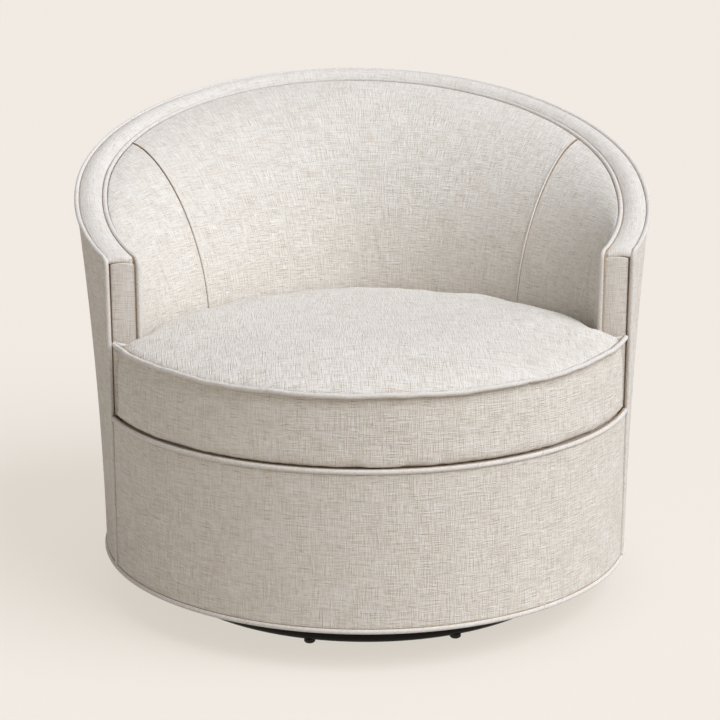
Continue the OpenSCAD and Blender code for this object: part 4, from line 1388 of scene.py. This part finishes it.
def grainGroup():
    # long wood fibres and pores along one axis, with thin layers up through plywood
    s = grainSettings
    tree, given, result = nodeTree("woodGrain", "ShaderNodeTree", [
        ("Vector", "Vector"),
        ("Color", "Light"),
        ("Color", "Dark"),
        ("Float", "Layers"),
    ], surfaceOutputs)
    x, y, z = addNode(tree, "ShaderNodeSeparateXYZ", Vector=given["Vector"]).outputs
    stretches = (s["alongFibres"], s["acrossFibres"], s["acrossFibres"])
    long = joinVector(tree, *[mathNode(tree, "MULTIPLY", *pair) for pair in zip((x, y, z), stretches)])
    fibres = noiseNode(tree, long, 1.0, 5.0, 0.6)
    pores = noiseNode(tree, long, 6.0)
    layer = mathNode(tree, "SINE", mathNode(tree, "MULTIPLY", z, 2 * math.pi / s["layer"]))
    layer = mathNode(tree, "MULTIPLY", layer, given["Layers"])
    shade = mathNode(tree, "MULTIPLY_ADD", pores, s["poreShade"], fibres)
    shade = mathNode(tree, "MULTIPLY_ADD", layer, s["layerShade"], shade)
    mask = rangeNode(tree, shade, *s["shades"], 0.0, 1.0)
    feed(tree, result["Color"], mixColor(tree, mask, given["Dark"], given["Light"]))
    feed(tree, result["Roughness"], rangeNode(tree, mask, 0.0, 1.0, *s["rough"]))
    feed(tree, result["Height"], shade)
    return tree


scuffs = scuffGroup()
grain = grainGroup()

partFinishes = {
    # slot: shared group, its inputs, metallic, specular level, bump height
    "black_steel": (scuffs, {"Base": (0.012, 0.011, 0.010), "Worn": (0.02, 0.019, 0.017), "Smooth": 0.38,
                             "Rough": 0.62, "Scale": 70.0}, 0.0, 0.16, 0.00012),
    "glide_plastic": (scuffs, {"Base": (0.016, 0.015, 0.014), "Worn": (0.03, 0.028, 0.026), "Smooth": 0.5,
                               "Rough": 0.75, "Scale": 160.0}, 0.0, 0.5, 0.0001),
    "bearing_steel": (scuffs, {"Base": (0.76, 0.77, 0.79), "Worn": (0.66, 0.67, 0.69), "Smooth": 0.08,
                               "Rough": 0.22, "Scale": 240.0}, 1.0, 0.5, 0.00002),
    "zinc_steel": (scuffs, {"Base": (0.60, 0.61, 0.63), "Worn": (0.47, 0.48, 0.49), "Smooth": 0.26,
                            "Rough": 0.5, "Scale": 130.0}, 1.0, 0.5, 0.00005),
    "plywood": (grain, {"Light": (0.74, 0.58, 0.40), "Dark": (0.50, 0.35, 0.21), "Layers": 1.0},
                0.0, 0.5, 0.0003),
    "hardwood": (grain, {"Light": (0.66, 0.49, 0.31), "Dark": (0.43, 0.28, 0.16), "Layers": 0.0},
                 0.0, 0.5, 0.0003),
    "fibreboard": (scuffs, {"Base": (0.50, 0.39, 0.26), "Worn": (0.38, 0.28, 0.18), "Smooth": 0.7,
                            "Rough": 0.9, "Scale": 260.0}, 0.0, 0.5, 0.0003),
}


finishBump = 0.6


def finishMaterial(slot):
    group, values, metallic, shine, height = partFinishes[slot]
    material, tree, effect, shader = groupMaterial(slot.replace("_", " "), group, values, finishBump, height)
    fill(tree, effect, Vector=objectPlace(tree))
    fill(tree, shader, Metallic=metallic, Specular_IOR_Level=shine)
    return material


plainYarnHeight = 0.0005


def plainWeave(name, light, dark, threads):
    # open weave on flat cloth that has no map of its own
    values = {"Light Yarn": light, "Dark Yarn": dark, "Fleck": dark, "Threads": threads}
    material, tree, effect, _ = groupMaterial(name, linen, values, 1.0, plainYarnHeight)
    fill(tree, effect, Vector=objectPlace(tree))
    return material


slotMaterials = {slot: finishMaterial(slot) for slot in partFinishes}
slotMaterials["foam"] = openFoam
slotMaterials["cambric"] = plainWeave("black cambric", (0.045, 0.045, 0.047), (0.018, 0.018, 0.02), 1300.0)
slotMaterials["zip_tape"] = plainWeave("zip tape", (0.76, 0.72, 0.65), (0.55, 0.50, 0.43), 2400.0)

sliderSettings = {
    "plateLift": 0.0008,     # the plate lies this far over the slider's lowest side
    "plate": 0.001,
    "flange": 0.0009,
    "flangeShare": 0.8,
    "posts": (-0.0045, 0.0035),      # where the two posts of the bridge begin
    "bridge": 0.001,         # thickness of the posts and half the width of the bridge
    "bar": 0.0004,           # height of the bridge's bar, and how deep its posts are in the plate
    "overlap": 0.0002,       # how deep the flanges are in the plate, and the posts in the bar
    "pull": (-0.0035, 0.0022),       # where the pull begins, and half its width
    "pullHeights": (0.0003, 0.0007), # over the slider's lowest side
    "pullShort": 0.0004,     # the pull ends this far before the plate does
    "bevel": 0.00012,
}


def blockPiece(name, blocks, edge):
    # bevelled blocks in one mesh, each given by two opposite corners
    bm = bmesh.new()
    for low, high in blocks:
        made = bmesh.ops.create_cube(bm, size=1.0)["verts"]
        size = Vector(high) - Vector(low)
        middle = (Vector(high) + Vector(low)) / 2
        for vert in made:
            vert.co = Vector([a * b for a, b in zip(vert.co, size)]) + middle
    bmesh.ops.bevel(bm, geom=bm.edges[:], offset=edge, segments=2, affect="EDGES")
    mesh = bpy.data.meshes.new(name)
    bm.to_mesh(mesh)
    bm.free()
    return addToScene(name, mesh)


def zipSlider():
    # a plate with two flanges round the teeth, a bridge and a flat pull, all inside the CAD slider's box
    s = sliderSettings
    low, high = sliderBox
    x, y = (low.x + high.x) / 2, (low.y + high.y) / 2
    long, wide = (high.x - low.x) / 2, (high.y - low.y) / 2
    plate = low.z + s["plateLift"]
    bridge, bar, overlap = s["bridge"], s["bar"], s["overlap"]
    blocks = [((x - long, y - wide, plate), (x + long, y + wide, plate + s["plate"]))]
    for side in (-1, 1):
        edges = sorted([y + side * wide, y + side * (wide - s["flange"])])
        reach = long * s["flangeShare"]
        blocks.append(((x - reach, edges[0], plate + overlap), (x + reach, edges[1], high.z)))
    for at in s["posts"]:
        blocks.append(((x + at, y - bridge, low.z + overlap), (x + at + bridge, y + bridge, plate + bar)))
    end = s["posts"][1] + bridge
    blocks.append(((x - end, y - bridge, low.z), (x + end, y + bridge, low.z + bar)))
    start, half = s["pull"]
    under, over = s["pullHeights"]
    blocks.append(((x + start, y - half, low.z + under), (x + long - s["pullShort"], y + half, low.z + over)))
    dress(blockPiece("zipSlider", blocks, s["bevel"]), "zipper", "zinc_steel", slotMaterials["zinc_steel"],
          "zipper_slider")


def finishNodes():
    slots = {part["node"]: part["material_slot"] for part in frame["record"]["subparts"]}
    for name, node in frame["nodes"].items():
        material = slotMaterials.get(slots[name])
        if material is not None:
            node.data.materials.clear()
            node.data.materials.append(material)


zipSlider()
finishNodes()
print("stage: frame, bearing, base and lining finished")
